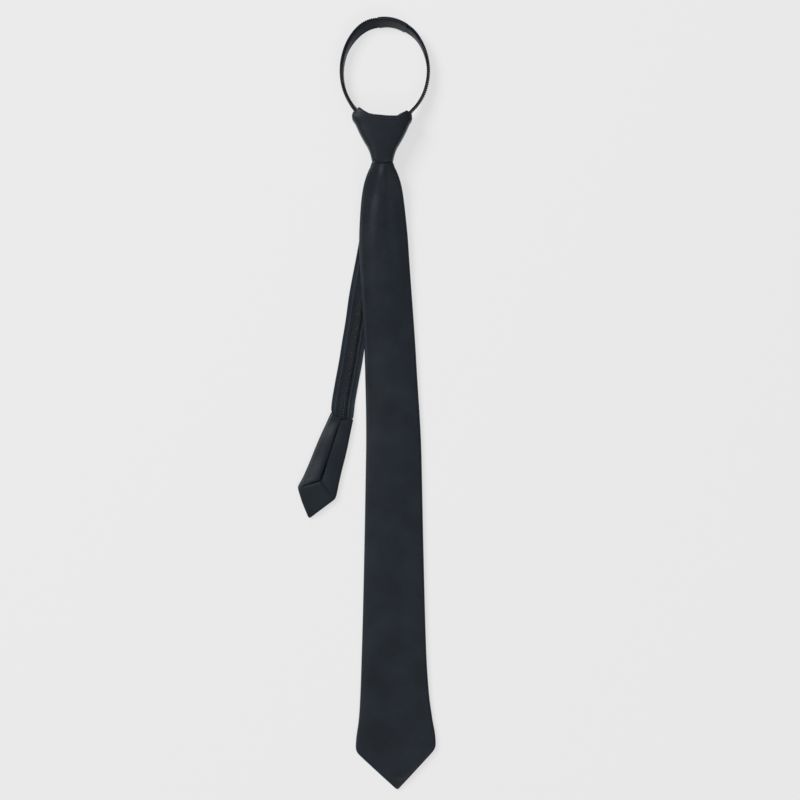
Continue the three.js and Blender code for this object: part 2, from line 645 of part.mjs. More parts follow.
function zipStations(side, coil) {
  const count = (a, b) => Array.from({ length: b - a + 1 }, (_, k) => a + k);
  const tucked = coil ? [] : [ZIP_TUCK, ZIP_TUCK / 2, TUCK_END].map((depth) => tuckedStation(side, depth));
  const lowest = ZIP_FREE_LENGTH + (coil ? COIL_TUCK : -TUCK_END);
  const near = [lowest, ZIP_FREE_LENGTH - TUCK_START, approach];
  const far = count(1, ROUTE_STEPS - 1).map(
    (k) => approach * (1 - k / ROUTE_STEPS) ** ROUTE_CROWDING,
  );
  const inKnot = count(0, THROAT_STEPS).map((k) => (-SLIDER_FOOT * k) / THROAT_STEPS);
  const closed = [...near, ...far, ...inKnot].map((down) => closedStation(side, down));
  const split = count(0, SPLIT_STEPS - 1).map((k) => splitStation(side, k / SPLIT_STEPS));
  const start = side < 0 ? LOOP_LEFT_END : LOOP_RIGHT_END;
  const sweep = Math.abs(sleeveMiddle - start);
  const sleeveEnd = side < 0 ? SLEEVE_LEFT_END : SLEEVE_RIGHT_END;
  const stop = coil ? (Math.abs(sleeveEnd - start) - COIL_PARTING) / sweep : 1;
  const steps = Math.round((sweep * stop) / LOOP_STEP);
  const loop = count(0, steps).map((k) => loopStation(side, (stop * k) / steps));
  return [...tucked, ...closed, ...split, ...loop];
}

function zipTape(side) {
  const stations = zipStations(side, false);
  const grid = (height) =>
    stations.map((station) => {
      const half = (station.reach + tapeKnee) / 2;
      return [COIL_OVERHANG, tapeKnee, half, station.reach].map((r) => zipPoint(station, r, height));
    });
  return sheet(grid(TAPE_THICKNESS / 2), grid(-TAPE_THICKNESS / 2));
}

function zipCoil(side) {
  const stations = zipStations(side, true);
  const grid = (height) =>
    stations.map((station) => [0, COIL_WIDTH].map((reach) => zipPoint(station, reach, height)));
  return sheet(grid(coilTop), grid(coilBase));
}

// Sleeve behind the neck: a flat tube round the ends of the two tapes.
function neckSleeve() {
  const middle = (COIL_OVERHANG + halfZip) / 2;
  const halfHeight = (halfZip - COIL_OVERHANG) / 2 + SLEEVE_ROOM;
  const halfThickness = TAPE_THICKNESS / 2 + CLEARANCE;
  const station = (share) => {
    const angle = lerp(SLEEVE_LEFT_END, SLEEVE_RIGHT_END, share);
    const side = angle > sleeveMiddle ? -1 : 1;
    const start = side < 0 ? LOOP_LEFT_END : LOOP_RIGHT_END;
    const around = (angle - start) / (sleeveMiddle - start);
    return loopStation(side, around);
  };
  const rounded = (value) => Math.sign(value) * Math.abs(value) ** SLEEVE_ROUNDNESS;
  const ring = (share, wall) =>
    Array.from({ length: SLEEVE_SIDES }, (_, k) => {
      const angle = (2 * Math.PI * (k + 0.5)) / SLEEVE_SIDES;
      const reach = middle + rounded(Math.cos(angle)) * (halfHeight + wall);
      const { edge, out, look } = station(share);
      return edge
        .clone()
        .addScaledVector(out, reach)
        .addScaledVector(look, rounded(Math.sin(angle)) * (halfThickness + wall));
    });
  const shares = Array.from({ length: SLEEVE_STEPS + 1 }, (_, k) => k / SLEEVE_STEPS);
  return sheet(
    shares.map((share) => ring(share, SLEEVE_WALL)),
    shares.map((share) => ring(share, 0)),
    true,
  );
}

// A block between two corners as a solid that can be joined.
function block(low, high) {
  const size = new THREE.Vector3().subVectors(high, low);
  const geometry = new THREE.BoxGeometry(size.x, size.y, size.z);
  geometry.translate(low.x + size.x / 2, low.y + size.y / 2, low.z + size.z / 2);
  geometry.deleteAttribute("normal");
  geometry.deleteAttribute("uv");
  const merged = mergeVertices(geometry);
  return new wasm.Manifold(
    new wasm.Mesh({
      numProp: 3,
      vertProperties: merged.attributes.position.array,
      triVerts: new Uint32Array(merged.index.array),
    }),
  );
}

function geometryOf(solid) {
  const { vertProperties, triVerts } = solid.getMesh();
  const geometry = new THREE.BufferGeometry();
  geometry.setAttribute("position", new THREE.BufferAttribute(vertProperties, 3));
  geometry.setIndex(new THREE.BufferAttribute(triVerts, 1));
  return geometry;
}

// Slider: a plate under the tapes and one over the coils, joined by the post between the parted
// coils, and a stud that reaches up to the knot's front wall.
function zipSlider() {
  const at = (x, y, z) => new THREE.Vector3(x, y, z);
  const halfWidth = SLIDER_WIDTH / 2;
  const head = SLIDER_FOOT + SLIDER_LENGTH;
  const under = chainLevel - tapeRest - CLEARANCE;
  const over = chainLevel + coilTop + CLEARANCE;
  const postFoot = head - SLIDER_POST_LENGTH;
  const studFoot = SLIDER_FOOT + SLIDER_STUD_PLACE - SLIDER_STUD / 2;
  const wallUp = studFoot / KNOT_HEIGHT;
  const wall = lerp(KNOT_WAIST_DEPTH, KNOT_DEPTH, wallUp) - KNOT_WALL - CLEARANCE;
  const half = SLIDER_STUD / 2;
  const lower = block(at(-halfWidth, SLIDER_FOOT, under - SLIDER_PLATE), at(halfWidth, head, under));
  const upper = block(at(-halfWidth, SLIDER_FOOT, over), at(halfWidth, head, over + SLIDER_PLATE));
  const postLow = at(-SLIDER_POST / 2, postFoot, under - SLIDER_BITE);
  const post = block(postLow, at(SLIDER_POST / 2, head, over + SLIDER_BITE));
  const stud = block(at(-half, studFoot, over + SLIDER_BITE), at(half, studFoot + SLIDER_STUD, wall));
  return geometryOf(lower.add(post).add(upper).add(stud));
}

// Finishes
const satin = new THREE.MeshStandardMaterial({ color: 0x2a2d34, roughness: 0.5, metalness: 0 });
const facingCloth = new THREE.MeshStandardMaterial({ color: 0x21282c, roughness: 0.6, metalness: 0 });
const tapeWeave = new THREE.MeshStandardMaterial({ color: 0x262b33, roughness: 0.65, metalness: 0 });
const nylon = new THREE.MeshStandardMaterial({ color: 0x1d2026, roughness: 0.35, metalness: 0 });
const metal = new THREE.MeshStandardMaterial({ color: 0x2c2c2e, roughness: 0.4, metalness: 0.8 });

const tie = new THREE.Group();

function add(name, geometry, material) {
  const mesh = new THREE.Mesh(geometry, material);
  mesh.name = name;
  tie.add(mesh);
}

add("blade_shell", bladeShell(), satin);
add("blade_tipping", bladeTipping(), facingCloth);
add("knot_wrap", knotWrap(), satin);
add("zip_tape_left", zipTape(-1), tapeWeave);
add("zip_tape_right", zipTape(1), tapeWeave);
add("zip_coil_left", zipCoil(-1), nylon);
add("zip_coil_right", zipCoil(1), nylon);
add("zip_slider", zipSlider(), metal);
add("neck_sleeve", neckSleeve(), satin);
add("tail_shell", tailShell(), satin);
add("tail_tipping", tailTipping(), facingCloth);

// The origin is under the middle of the whole tie, on the surface it lies on.
const box = new THREE.Box3().setFromObject(tie);
const middle = box.getCenter(new THREE.Vector3());
tie.position.set(-middle.x, -middle.y, -box.min.z);

export default tie;
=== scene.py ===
"""The looks of a ready-knotted necktie that closes with a zip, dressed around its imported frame.

Lengths are in millimetres until a mesh is made. While the pieces are shaped, the knot's waist is at
x = 0, y = 0 and the floor is z = 0, as in the solids; HOME then moves them to the frame's own place.
"""

import math

import bpy
import numpy as np
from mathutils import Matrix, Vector


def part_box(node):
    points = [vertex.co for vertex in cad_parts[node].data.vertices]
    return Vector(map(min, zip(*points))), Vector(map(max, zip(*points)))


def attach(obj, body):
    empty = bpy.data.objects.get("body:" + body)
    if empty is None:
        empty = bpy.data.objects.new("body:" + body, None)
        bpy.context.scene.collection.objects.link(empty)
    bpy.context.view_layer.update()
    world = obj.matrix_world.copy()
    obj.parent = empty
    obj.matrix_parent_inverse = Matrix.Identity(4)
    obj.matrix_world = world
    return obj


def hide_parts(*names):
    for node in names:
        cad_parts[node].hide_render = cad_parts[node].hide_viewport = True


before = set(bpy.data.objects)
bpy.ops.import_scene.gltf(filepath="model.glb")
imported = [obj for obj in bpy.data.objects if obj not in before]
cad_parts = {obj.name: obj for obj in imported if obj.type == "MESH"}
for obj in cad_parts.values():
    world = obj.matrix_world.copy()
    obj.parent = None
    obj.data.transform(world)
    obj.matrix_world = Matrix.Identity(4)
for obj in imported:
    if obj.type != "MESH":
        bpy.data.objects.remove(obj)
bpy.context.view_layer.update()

MM = 0.001

# Cloth
CLOTH = 0.8
CLEARANCE = 0.3

# Blade
BLADE_LENGTH = 475.2
BLADE_WIDTH = 60
BLADE_POINT = 29.6
BLADE_DRIFT = 10
BLADE_TIP_DRIFT = 1.2
BLADE_TILT = 0.04
BLADE_THICKNESS = 4
BLADE_CROWN = 0.8
BLADE_PLEAT = 1.6
BLADE_FACING = 22
NECK_WIDTH = 12
NECK_THICKNESS = 4.6
NECK_TUCK = 8
NECK_COLLAR = 1.6
NECK_BULGE = 0.55

# Tail
TAIL_LENGTH = 81
TAIL_WIDTH = 29.2
TAIL_POINT = 19.4
TAIL_THICKNESS = 4
TAIL_PUFF = 0.9
TAIL_FACING = 10.5
TAIL_TURN = math.radians(18)
TAIL_NOTCH = 2.9
TAIL_SWELL = 1.4

# Folded strips, both blade and tail
SEAM_GAP = 0.5
SEAM_SPREAD = 1.4
HEM = 0.5
TIP_THICKNESS = 2.4
TIP_WIDTH = 1.6
TIP_ROUND = 1
TIP_SHRINK = 0.3
BLADE_CORNER_ROUND = 1.2
TAIL_CORNER_ROUND = 0.25
FACING_LAP = 4
FACING_THICKNESS = 0.8

# Knot
KNOT_HEIGHT = 34.3
KNOT_WIDTH = 45.1
KNOT_WAIST = 15.7
KNOT_DEPTH = 18.5
KNOT_WAIST_DEPTH = 16.5
KNOT_WALL = 1.2
KNOT_SQUARENESS = 4.5
KNOT_SMILE = 0.03
KNOT_BACK_RISE = 0.01
EAR_SWELL = 0.6
KNOT_LIP = 0.6

# Zip
HALF_ZIP = 8.65
TAPE_KNEE = 2.9
TAPE_EDGE = 0.5
TAPE_REST = 0.5
CHAIN_LEVEL = 7.8
ZIP_STACK = 2.7
ZIP_FREE_LENGTH = 192
ZIP_DRIFT = 30.7
ZIP_TUCK = 8
TUCK_NARROWING = 0.7
TUCK_START = 1
TUCK_END = 0.2
TAIL_APPROACH = 10
SLIDER_FOOT = 11.5
SLIDER_BEND = 8
SLIDER_INLET = 1.5
SLIDER_GUIDE = 8
COIL_TUCK = 2.4
TOOTH_PITCH = 1.55
TOOTH_WIRE = 0.78
CORE_REACH = 1
EDGE_REACH = 0.2
CORE_LEVEL = 1.2
CORE_RADIUS = 0.62

# Neck loop
LOOP_WIDTH = 64
LOOP_HEIGHT = 75.4
LOOP_CENTRE = (2.1, 68.8)
LOOP_LEFT_END = 227.2
LOOP_RIGHT_END = -49.9
SLEEVE_LEFT_END = 98.8
SLEEVE_RIGHT_END = 60.4
SLEEVE_MIDDLE = (SLEEVE_LEFT_END + SLEEVE_RIGHT_END) / 2
SLEEVE_WALL = 0.8
SLEEVE_ROOM = 0.5
SLEEVE_FRONT = 1.1
SLEEVE_BACK = 0.7
KNOT_LIFT = 3.6
SLEEVE_LIFT = 1.7
SPLIT_RUN = 19
SPLIT_LEVEL = 0.34

# Camera, straight above, and the millimetres that the picture shows at floor level
CAMERA_X = 25.0
CAMERA_Y = 3.3
CAMERA_HEIGHT = 1550
VIEW_WIDTH = 608

BLADE_BODY = BLADE_LENGTH - BLADE_POINT
TAIL_BODY = TAIL_LENGTH - TAIL_POINT


def table(names, *rows):
    """Rows of numbers under named columns."""
    return [dict(zip(names.split(), row)) for row in rows]


# Blade by its distance from the knot, as shares of the length above the corners, of the neck's and
# the blade's width, and of the drift
BLADE = table(
    "down neck body drift",
    (0, 1, 0, 0),
    (0.008, 0.8, 0.136, 0),
    (0.018, 0.6, 0.252, 0),
    (0.038, 0.3, 0.412, 0),
    (0.06, 0.1, 0.51, 0),
    (0.1, 0, 0.589, 0.03),
    (0.14, 0, 0.622, 0.09),
    (0.336, 0, 0.652, 0.6),
    (0.5, 0, 0.704, 0.85),
    (0.665, 0, 0.752, 0.86),
    (0.83, 0, 0.816, 0.87),
    (0.905, 0, 0.871, 0.92),
    (0.946, 0, 0.93, 0.98),
    (0.98, 0, 1.005, 1),
    (0.993, 0, 1.015, 1),
    (1, 0, 1.015, 1),
)

# Closed stretch of the zip by its distance from the knot: sideways and height shares, the fold of
# its wings in degrees, and how high the blade's two edges lie over it
ZIP = table(
    "down across level bend left right",
    (0, 0, 1, 72, 1, 1),
    (0.041, 0.029, 0.82, 58, 1.1, 1.07),
    (0.087, 0.068, 0.54, 38, 1.14, 1.03),
    (0.138, 0.116, 0.27, 17, 1.24, 0.97),
    (0.205, 0.19, 0.09, 5, 1.34, 0.86),
    (0.256, 0.239, 0, 0, 1.34, 0.86),
    (0.344, 0.33, 0, 0, 1.24, 0.69),
    (0.533, 0.55, 0, 0, 1.09, 0.28),
    (0.626, 0.63, 0, 0, 0.8, 0.07),
    (0.72, 0.727, 0, 0, 0.56, 0),
    (0.78, 0.785, 0, 0, 0.48, 0),
    (0.88, 0.9, 0, 0, 0, 0),
    (0.953, 0.975, 0, 0, 0, 0),
    (1, 1, 0, 0, 0, 0),
)

TAIL = table(
    "down width",
    (0, 0.613),
    (0.16, 0.685),
    (0.32, 0.764),
    (0.48, 0.825),
    (0.64, 0.868),
    (0.8, 0.93),
    (0.96, 0.998),
    (1, 0.99),
)

KNOT = table(
    "up flare",
    (0, 0),
    (0.16, 0.087),
    (0.29, 0.198),
    (0.42, 0.375),
    (0.55, 0.546),
    (0.68, 0.7),
    (0.81, 0.836),
    (0.95, 1),
    (1.2, 1),
)

# Top edge round the knot: place across the front or back, or up the sides, and its height
KNOT_RIM = {
    "front": table(
        "at top",
        (-0.985, 1.03),
        (-0.955, 1.085),
        (-0.9, 1.085),
        (-0.87, 1.11),
        (-0.8, 1.172),
        (-0.614, 1.09),
        (-0.465, 1.038),
        (-0.3, 1.014),
        (-0.1, 1.002),
        (0.15, 0.986),
        (0.35, 0.982),
        (0.517, 0.984),
        (0.6, 1.022),
        (0.72, 1.06),
        (0.835, 1.1),
        (0.92, 1.07),
        (0.985, 1.03),
    ),
    "right": table("at top", (0.45, 0.95), (-0.3, 0.88), (-0.78, 0.88)),
    "back": table("at top", (0.85, 0.88), (0.3, 0.9), (-0.3, 0.9), (-0.85, 0.94)),
    "left": table("at top", (-0.78, 0.96), (-0.3, 0.98), (0.45, 1.01)),
}

# Standing tapes of the neck loop from the knot to the sleeve: outward lean in degrees, how far
# outwards they stand of the loop's ellipse, and shares of the two heights
LOOP_LEFT = table(
    "around lean out knot sleeve",
    (0, 12, 0.7, 1, 0),
    (0.1, 5, 0.35, 0.4, 0),
    (0.2, 4, 0.35, 0, 0),
    (0.32, 5.5, 0.3, 0, 0),
    (0.45, 9.5, 0.3, 0, 0.02),
    (0.52, 14.5, 0.3, 0, 0.08),
    (0.59, 22, 0.3, 0, 0.16),
    (0.66, 29, 0.35, 0, 0.3),
    (0.73, 36, 0.4, 0, 0.55),
    (0.8, 38, 0, 0, 0.85),
    (0.87, 33, -0.6, 0, 1),
    (0.93, 29.5, -0.6, 0, 1),
    (1, 26, -0.4, 0, 1),
)
LOOP_RIGHT = table(
    "around lean out knot sleeve",
    (0, -3, 0, 1, 0),
    (0.22, -6, 0, 0, 0),
    (0.45, -1, 0, 0, 0),
    (0.62, 4, 0.1, 0, 0.1),
    (0.7, 8, 0.15, 0, 0.25),
    (0.77, 14.5, 0, 0, 0.6),
    (0.85, 20.5, -0.4, 0, 1),
    (0.93, 23, -0.4, 0, 1),
    (1, 26, -0.4, 0, 1),
)

# Across one tape from the coil outwards: its top and its underside, with the cord beside the
# stitches and the selvedge bead at its outer edge
TAPE_SECTION = table(
    "reach top base",
    (0.5, 0.25, -0.3),
    (0.75, 0.4, -0.45),
    (2.9, 0.4, -0.48),
    (3.5, 0.46, -0.48),
    (4.4, 0.46, -0.48),
    (4.65, 0.52, -0.48),
    (4.95, 0.78, -0.48),
    (5.25, 0.52, -0.48),
    (5.6, 0.38, -0.46),
    (6.4, 0.44, -0.46),
    (7.2, 0.38, -0.46),
    (7.8, 0.42, -0.46),
    (8.2, 0.6, -0.48),
    (8.5, 0.4, -0.4),
    (8.65, 0.05, -0.1),
)

# One turn of the coil: along the zip as a share of the pitch, reach from the middle, height over
# the tape's middle, and thickness as a share of the wire's
TOOTH = table(
    "along reach height thick",
    (0, 2.3, 0.72, 0.8),
    (0.02, 2.62, 0.9, 0.85),
    (0.08, 2.68, 1.2, 0.9),
    (0.16, 2.45, 1.46, 1),
    (0.24, 1.5, 1.54, 1),
    (0.27, 0.5, 1.52, 1),
    (0.27, -0.05, 1.46, 1.1),
    (0.27, -0.4, 1.24, 1.2),
    (0.27, -0.38, 1, 1.15),
    (0.27, 0.1, 0.84, 1),
    (0.3, 1.2, 0.78, 0.85),
    (0.6, 1.9, 0.72, 0.8),
)

# Creases pressed into the front of the knot: two ends across and up in millimetres, depth, width
CREASES = table(
    "x1 y1 x2 y2 depth width",
    (-21.8, 38.6, -19.8, 34.6, 0.35, 0.9),
    (19.4, 36.5, 20.4, 31.4, 0.5, 0.9),
)

# Soft folds that fan out under the knot: place at the knot, spread, height, width
PLEATS = table(
    "start end height width",
    (-0.3, -0.5, 0.14, 0.2),
    (0.2, 0.4, -0.2, 0.18),
    (0.6, 0.78, 0.12, 0.14),
)


def lerp(a, b, t):
    return a + (b - a) * t


def clamp(value, low, high):
    return max(low, min(high, value))


def smoothstep(value, low, high):
    t = clamp((value - low) / (high - low), 0, 1)
    return t * t * (3 - 2 * t)


def unit(v):
    return v / np.linalg.norm(v)


def vec(x, y, z=0.0):
    return np.array([x, y, z], float)


def column(rows, by, name):
    """A smooth curve through one column of a table, with no overshoot between its rows."""
    x = [row[by] for row in rows]
    y = [row[name] for row in rows]
    slope = [(y[i + 1] - y[i]) / (x[i + 1] - x[i]) for i in range(len(x) - 1)]
    tangent = []
    for i in range(len(x)):
        before = slope[max(i - 1, 0)]
        after = slope[min(i, len(slope) - 1)]
        tangent.append(2 * before * after / (before + after) if before * after > 0 else 0)

    def curve(at):
        value = clamp(at, x[0], x[-1])
        i = max(next(k for k, edge in enumerate(x) if edge >= value), 1) - 1
        width = x[i + 1] - x[i]
        t = (value - x[i]) / width
        start = (1 + 2 * t) * (1 - t) ** 2 * y[i] + t * (1 - t) ** 2 * width * tangent[i]
        end = t * t * (3 - 2 * t) * y[i + 1] + t * t * (t - 1) * width * tangent[i + 1]
        return start + end

    return curve


# Where the frame keeps the pieces: the slider is over the knot's middle, and the blade's tuck ends
# NECK_TUCK above the waist
slider_low, slider_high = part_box("zip_slider")
blade_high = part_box("blade_shell")[1]
HOME = vec((slider_low.x + slider_high.x) / 2 / MM, blade_high.y / MM - NECK_TUCK)


# Materials


def shader(name, **sockets):
    """A new material and its principled shader with the given sockets."""
    material = bpy.data.materials.new(name)
    material.use_nodes = True
    principled = material.node_tree.nodes["Principled BSDF"]
    for socket, value in sockets.items():
        principled.inputs[socket.replace("_", " ")].default_value = value
    return material, principled


class Nodes:
    """Short ways to add and join the nodes of one material."""

    def __init__(self, material):
        self.tree = material.node_tree

    def add(self, kind, **settings):
        node = self.tree.nodes.new(kind)
        for name, value in settings.items():
            setattr(node, name, value)
        return node

    def join(self, source, target):
        self.tree.links.new(source, target)

    def math(self, operation, a, b=0.0):
        node = self.add("ShaderNodeMath", operation=operation)
        for socket, value in zip(node.inputs, (a, b)):
            if isinstance(value, bpy.types.NodeSocket):
                self.join(value, socket)
            else:
                socket.default_value = value
        return node.outputs[0]

    def noise(self, vector, scale, detail=2.0, roughness=0.5):
        node = self.add("ShaderNodeTexNoise")
        node.inputs["Scale"].default_value = scale
        node.inputs["Detail"].default_value = detail
        node.inputs["Roughness"].default_value = roughness
        self.join(vector, node.inputs["Vector"])
        return node.outputs["Fac"]

    def stripes(self, coordinate, pitch):
        """A wave from 0 to 1 with the given pitch."""
        turned = self.math("MULTIPLY", coordinate, 2 * math.pi / pitch)
        wave = self.math("SINE", turned)
        return self.math("MULTIPLY_ADD", wave, 0.5)

    def remap(self, value, low, high):
        node = self.add("ShaderNodeMapRange")
        node.inputs["From Min"].default_value = 0.3
        node.inputs["From Max"].default_value = 0.7
        node.inputs["To Min"].default_value = low
        node.inputs["To Max"].default_value = high
        self.join(value, node.inputs["Value"])
        return node.outputs["Result"]

    def bump(self, height, distance, strength, principled):
        node = self.add("ShaderNodeBump")
        node.inputs["Strength"].default_value = strength
        node.inputs["Distance"].default_value = distance
        self.join(height, node.inputs["Height"])
        self.join(node.outputs["Normal"], principled.inputs["Normal"])


def across_and_along(nodes):
    """The cloth's own coordinates, in metres across and along it."""
    uv = nodes.add("ShaderNodeUVMap", uv_map="cloth")
    split = nodes.add("ShaderNodeSeparateXYZ")
    nodes.join(uv.outputs["UV"], split.inputs["Vector"])
    return uv.outputs["UV"], split.outputs["X"], split.outputs["Y"]


def tinted(nodes, principled, color, value, spread):
    """The base colour, darker and lighter with a value from about 0.3 to 0.7."""
    mix = nodes.add("ShaderNodeMix", data_type="RGBA")
    mix.inputs["A"].default_value = [c * (1 - spread) for c in color] + [1]
    mix.inputs["B"].default_value = [c * (1 + spread) for c in color] + [1]
    nodes.join(nodes.remap(value, 0, 1), mix.inputs["Factor"])
    nodes.join(mix.outputs["Result"], principled.inputs["Base Color"])


def woven(name, color, roughness, sheen, rise, diagonal=True):
    """A fine woven cloth: yarns along and across, a diagonal twill line, soft uneven wear."""
    material, principled = shader(name, Sheen_Weight=sheen, Sheen_Roughness=0.45, IOR=1.3)
    principled.inputs["Sheen Tint"].default_value = (0.75, 0.85, 1, 1)
    nodes = Nodes(material)
    uv, x, y = across_and_along(nodes)
    yarns = nodes.stripes(x, 0.00032)
    picks = nodes.stripes(y, 0.00027)
    weave = nodes.math("MULTIPLY", yarns, picks)
    if diagonal:
        slanted = nodes.math("ADD", x, nodes.math("MULTIPLY", y, 0.8))
        twill = nodes.stripes(slanted, 0.00085)
        weave = nodes.math("ADD", nodes.math("MULTIPLY", weave, 0.5), nodes.math("MULTIPLY", twill, 0.6))
    cloudy = nodes.noise(uv, 45, 3, 0.5)
    slubs = nodes.noise(uv, 900, 2, 0.6)
    mottled = nodes.math("ADD", nodes.math("MULTIPLY", cloudy, 0.65), nodes.math("MULTIPLY", slubs, 0.35))
    tinted(nodes, principled, color, mottled, 0.22)
    nodes.join(nodes.remap(cloudy, roughness - 0.03, roughness + 0.03), principled.inputs["Roughness"])
    height = nodes.math("ADD", weave, nodes.math("MULTIPLY", slubs, 0.8))
    nodes.bump(height, rise, 0.55, principled)
    return material


def tape_cloth():
    """The zip's tape: ribs along it and a fine cross weave, its gloss varying in soft patches."""
    material, principled = shader("zip_tape", Sheen_Weight=0.05, Sheen_Roughness=0.4, IOR=1.3)
    nodes = Nodes(material)
    uv, x, y = across_and_along(nodes)
    ribs = nodes.stripes(x, 0.0009)
    picks = nodes.stripes(y, 0.0006)
    weave = nodes.math("ADD", nodes.math("MULTIPLY", ribs, 0.8), nodes.math("MULTIPLY", picks, 0.35))
    fuzz = nodes.noise(uv, 1400, 2, 0.6)
    cloudy = nodes.noise(uv, 60, 2, 0.5)
    mottled = nodes.math("ADD", nodes.math("MULTIPLY", cloudy, 0.5), nodes.math("MULTIPLY", fuzz, 0.5))
    tinted(nodes, principled, (0.0145, 0.0215, 0.0315), mottled, 0.25)
    nodes.join(nodes.remap(cloudy, 0.42, 0.56), principled.inputs["Roughness"])
    nodes.bump(nodes.math("ADD", weave, nodes.math("MULTIPLY", fuzz, 0.5)), 0.00012, 0.6, principled)
    return material


def smooth_finish(name, color, roughness, metallic=0.0, grain=900, rise=0.00002, spread=0.12):
    """Nylon, thread or painted metal: a fine grain in colour, gloss and relief."""
    material, principled = shader(name, Metallic=metallic, Specular_IOR_Level=0.35)
    nodes = Nodes(material)
    place = nodes.add("ShaderNodeTexCoord")
    fine = nodes.noise(place.outputs["Object"], grain, 3, 0.55)
    tinted(nodes, principled, color, fine, spread)
    nodes.join(nodes.remap(fine, roughness - 0.05, roughness + 0.07), principled.inputs["Roughness"])
    nodes.bump(fine, rise, 0.5, principled)
    return material


satin = woven("satin_cloth", (0.0178, 0.0232, 0.031), 0.37, 0.04, 0.00007)
facing_cloth = woven("facing_cloth", (0.0125, 0.0185, 0.026), 0.55, 0.03, 0.00005, diagonal=False)
tape_weave = tape_cloth()
nylon = smooth_finish("zip_coil", (0.0115, 0.0155, 0.0215), 0.48)
thread = smooth_finish("sewing_thread", (0.024, 0.03, 0.04), 0.5, grain=2600, rise=0.00004, spread=0.2)
paint = smooth_finish("slider_paint", (0.03, 0.03, 0.032), 0.38, metallic=0.6, grain=500)


# Meshes


def piece(name, points, faces, uvs, material, nodes=(), sharp=40):
    """A shown piece from its points in millimetres, its faces and a coordinate for each corner."""
    mesh = bpy.data.meshes.new(name)
    placed = (np.asarray(points, float) + HOME) * MM
    mesh.from_pydata(placed.tolist(), [], [tuple(f) for f in faces])
    if uvs is not None:
        layer = mesh.uv_layers.new(name="cloth")
        layer.data.foreach_set("uv", (np.asarray(uvs, float) * MM).ravel())
    mesh.materials.append(material)
    mesh.shade_smooth()
    mesh.set_sharp_from_angle(angle=math.radians(sharp))
    made = bpy.data.objects.new(name, mesh)
    bpy.context.scene.collection.objects.link(made)
    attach(made, "root")
    if nodes:
        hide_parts(*nodes)
    return made


def border(front, back):
    """A middle row for a free edge that rounds it."""
    (edge, inner), (edge_back, inner_back) = front, back
    out = (edge + edge_back - inner - inner_back) / 2
    length = np.linalg.norm(out, axis=-1, keepdims=True)
    thick = np.linalg.norm(edge - edge_back, axis=-1, keepdims=True)
    return (edge + edge_back) / 2 + out / np.maximum(length, 1e-6) * thick * 0.32


class Sheet:
    """A closed skin round two grids of points, with rounded free edges."""

    def __init__(self, front, back, across, along, closes=False):
        self.front = np.asarray(front, float)
        self.back = np.asarray(back, float)
        self.closes = closes
        self.across = np.asarray(across, float)
        self.along = np.asarray(along, float)
        self.points = []
        self.faces = []
        self.uvs = []
        self.build()

    def put(self, grid):
        start = len(self.points)
        flat = grid.reshape(-1, 3)
        self.points.extend(flat)
        return start + np.arange(len(flat)).reshape(grid.shape[:-1])

    def patch(self, ids, across, along, flip):
        """Faces over a grid of point numbers. A wrapping grid has its first column again at its end."""
        rows, columns = ids.shape
        for i in range(rows - 1):
            for k in range(columns - 1):
                ring = [(i, k), (i, k + 1), (i + 1, k + 1), (i + 1, k)]
                if flip:
                    ring.reverse()
                self.faces.append([int(ids[a, b]) for a, b in ring])
                self.uvs.extend((across[a, b], along[a, b]) for a, b in ring)

    def build(self):
        front = self.put(self.front)
        back = self.put(self.back)
        ends = []
        for at, inner in ((0, 1), (-1, -2)):
            middle = border((self.front[at], self.front[inner]), (self.back[at], self.back[inner]))
            ends.append(self.put(middle))
        across, along = self.across, self.along
        if self.closes:
            front = np.hstack([front, front[:, :1]])
            back = np.hstack([back, back[:, :1]])
            ends = [np.append(end, end[0]) for end in ends]
        self.patch(front, across, along, False)
        self.patch(back, across, along, True)
        for at, end, flip in ((0, ends[0], True), (-1, ends[1], False)):
            ids = np.stack([front[at], end, back[at]])
            rows = np.stack([across[at]] * 3)
            shift = np.stack([along[at], along[at] + 0.5, along[at] + 1])
            self.patch(ids, rows, shift, flip)
        if self.closes:
            return
        for at, inner, flip in ((0, 1, False), (-1, -2, True)):
            middle = border(
                (self.front[:, at], self.front[:, inner]), (self.back[:, at], self.back[:, inner])
            )
            side = self.put(middle)
            side[0], side[-1] = ends[0][at], ends[1][at]
            ids = np.stack([front[:, at], side, back[:, at]])
            rows = np.stack([across[:, at]] + [across[:, at] + d for d in (0.5, 1)])
            self.patch(ids, rows, np.stack([along[:, at]] * 3), flip)

    def volume(self):
        points = np.array(self.points)
        total = 0.0
        for face in self.faces:
            a, b, c, d = (points[i] for i in face)
            total += np.dot(a, np.cross(b, c)) + np.dot(a, np.cross(c, d))
        return total

    def piece(self, name, material, slot, nodes=(), sharp=50):
        if self.volume() < 0:
            self.faces = [face[::-1] for face in self.faces]
            groups = np.array(self.uvs).reshape(-1, 4, 2)[:, ::-1]
            self.uvs = groups.reshape(-1, 2)
        return piece(name, self.points, self.faces, self.uvs, material, nodes, sharp)


# Folded strips


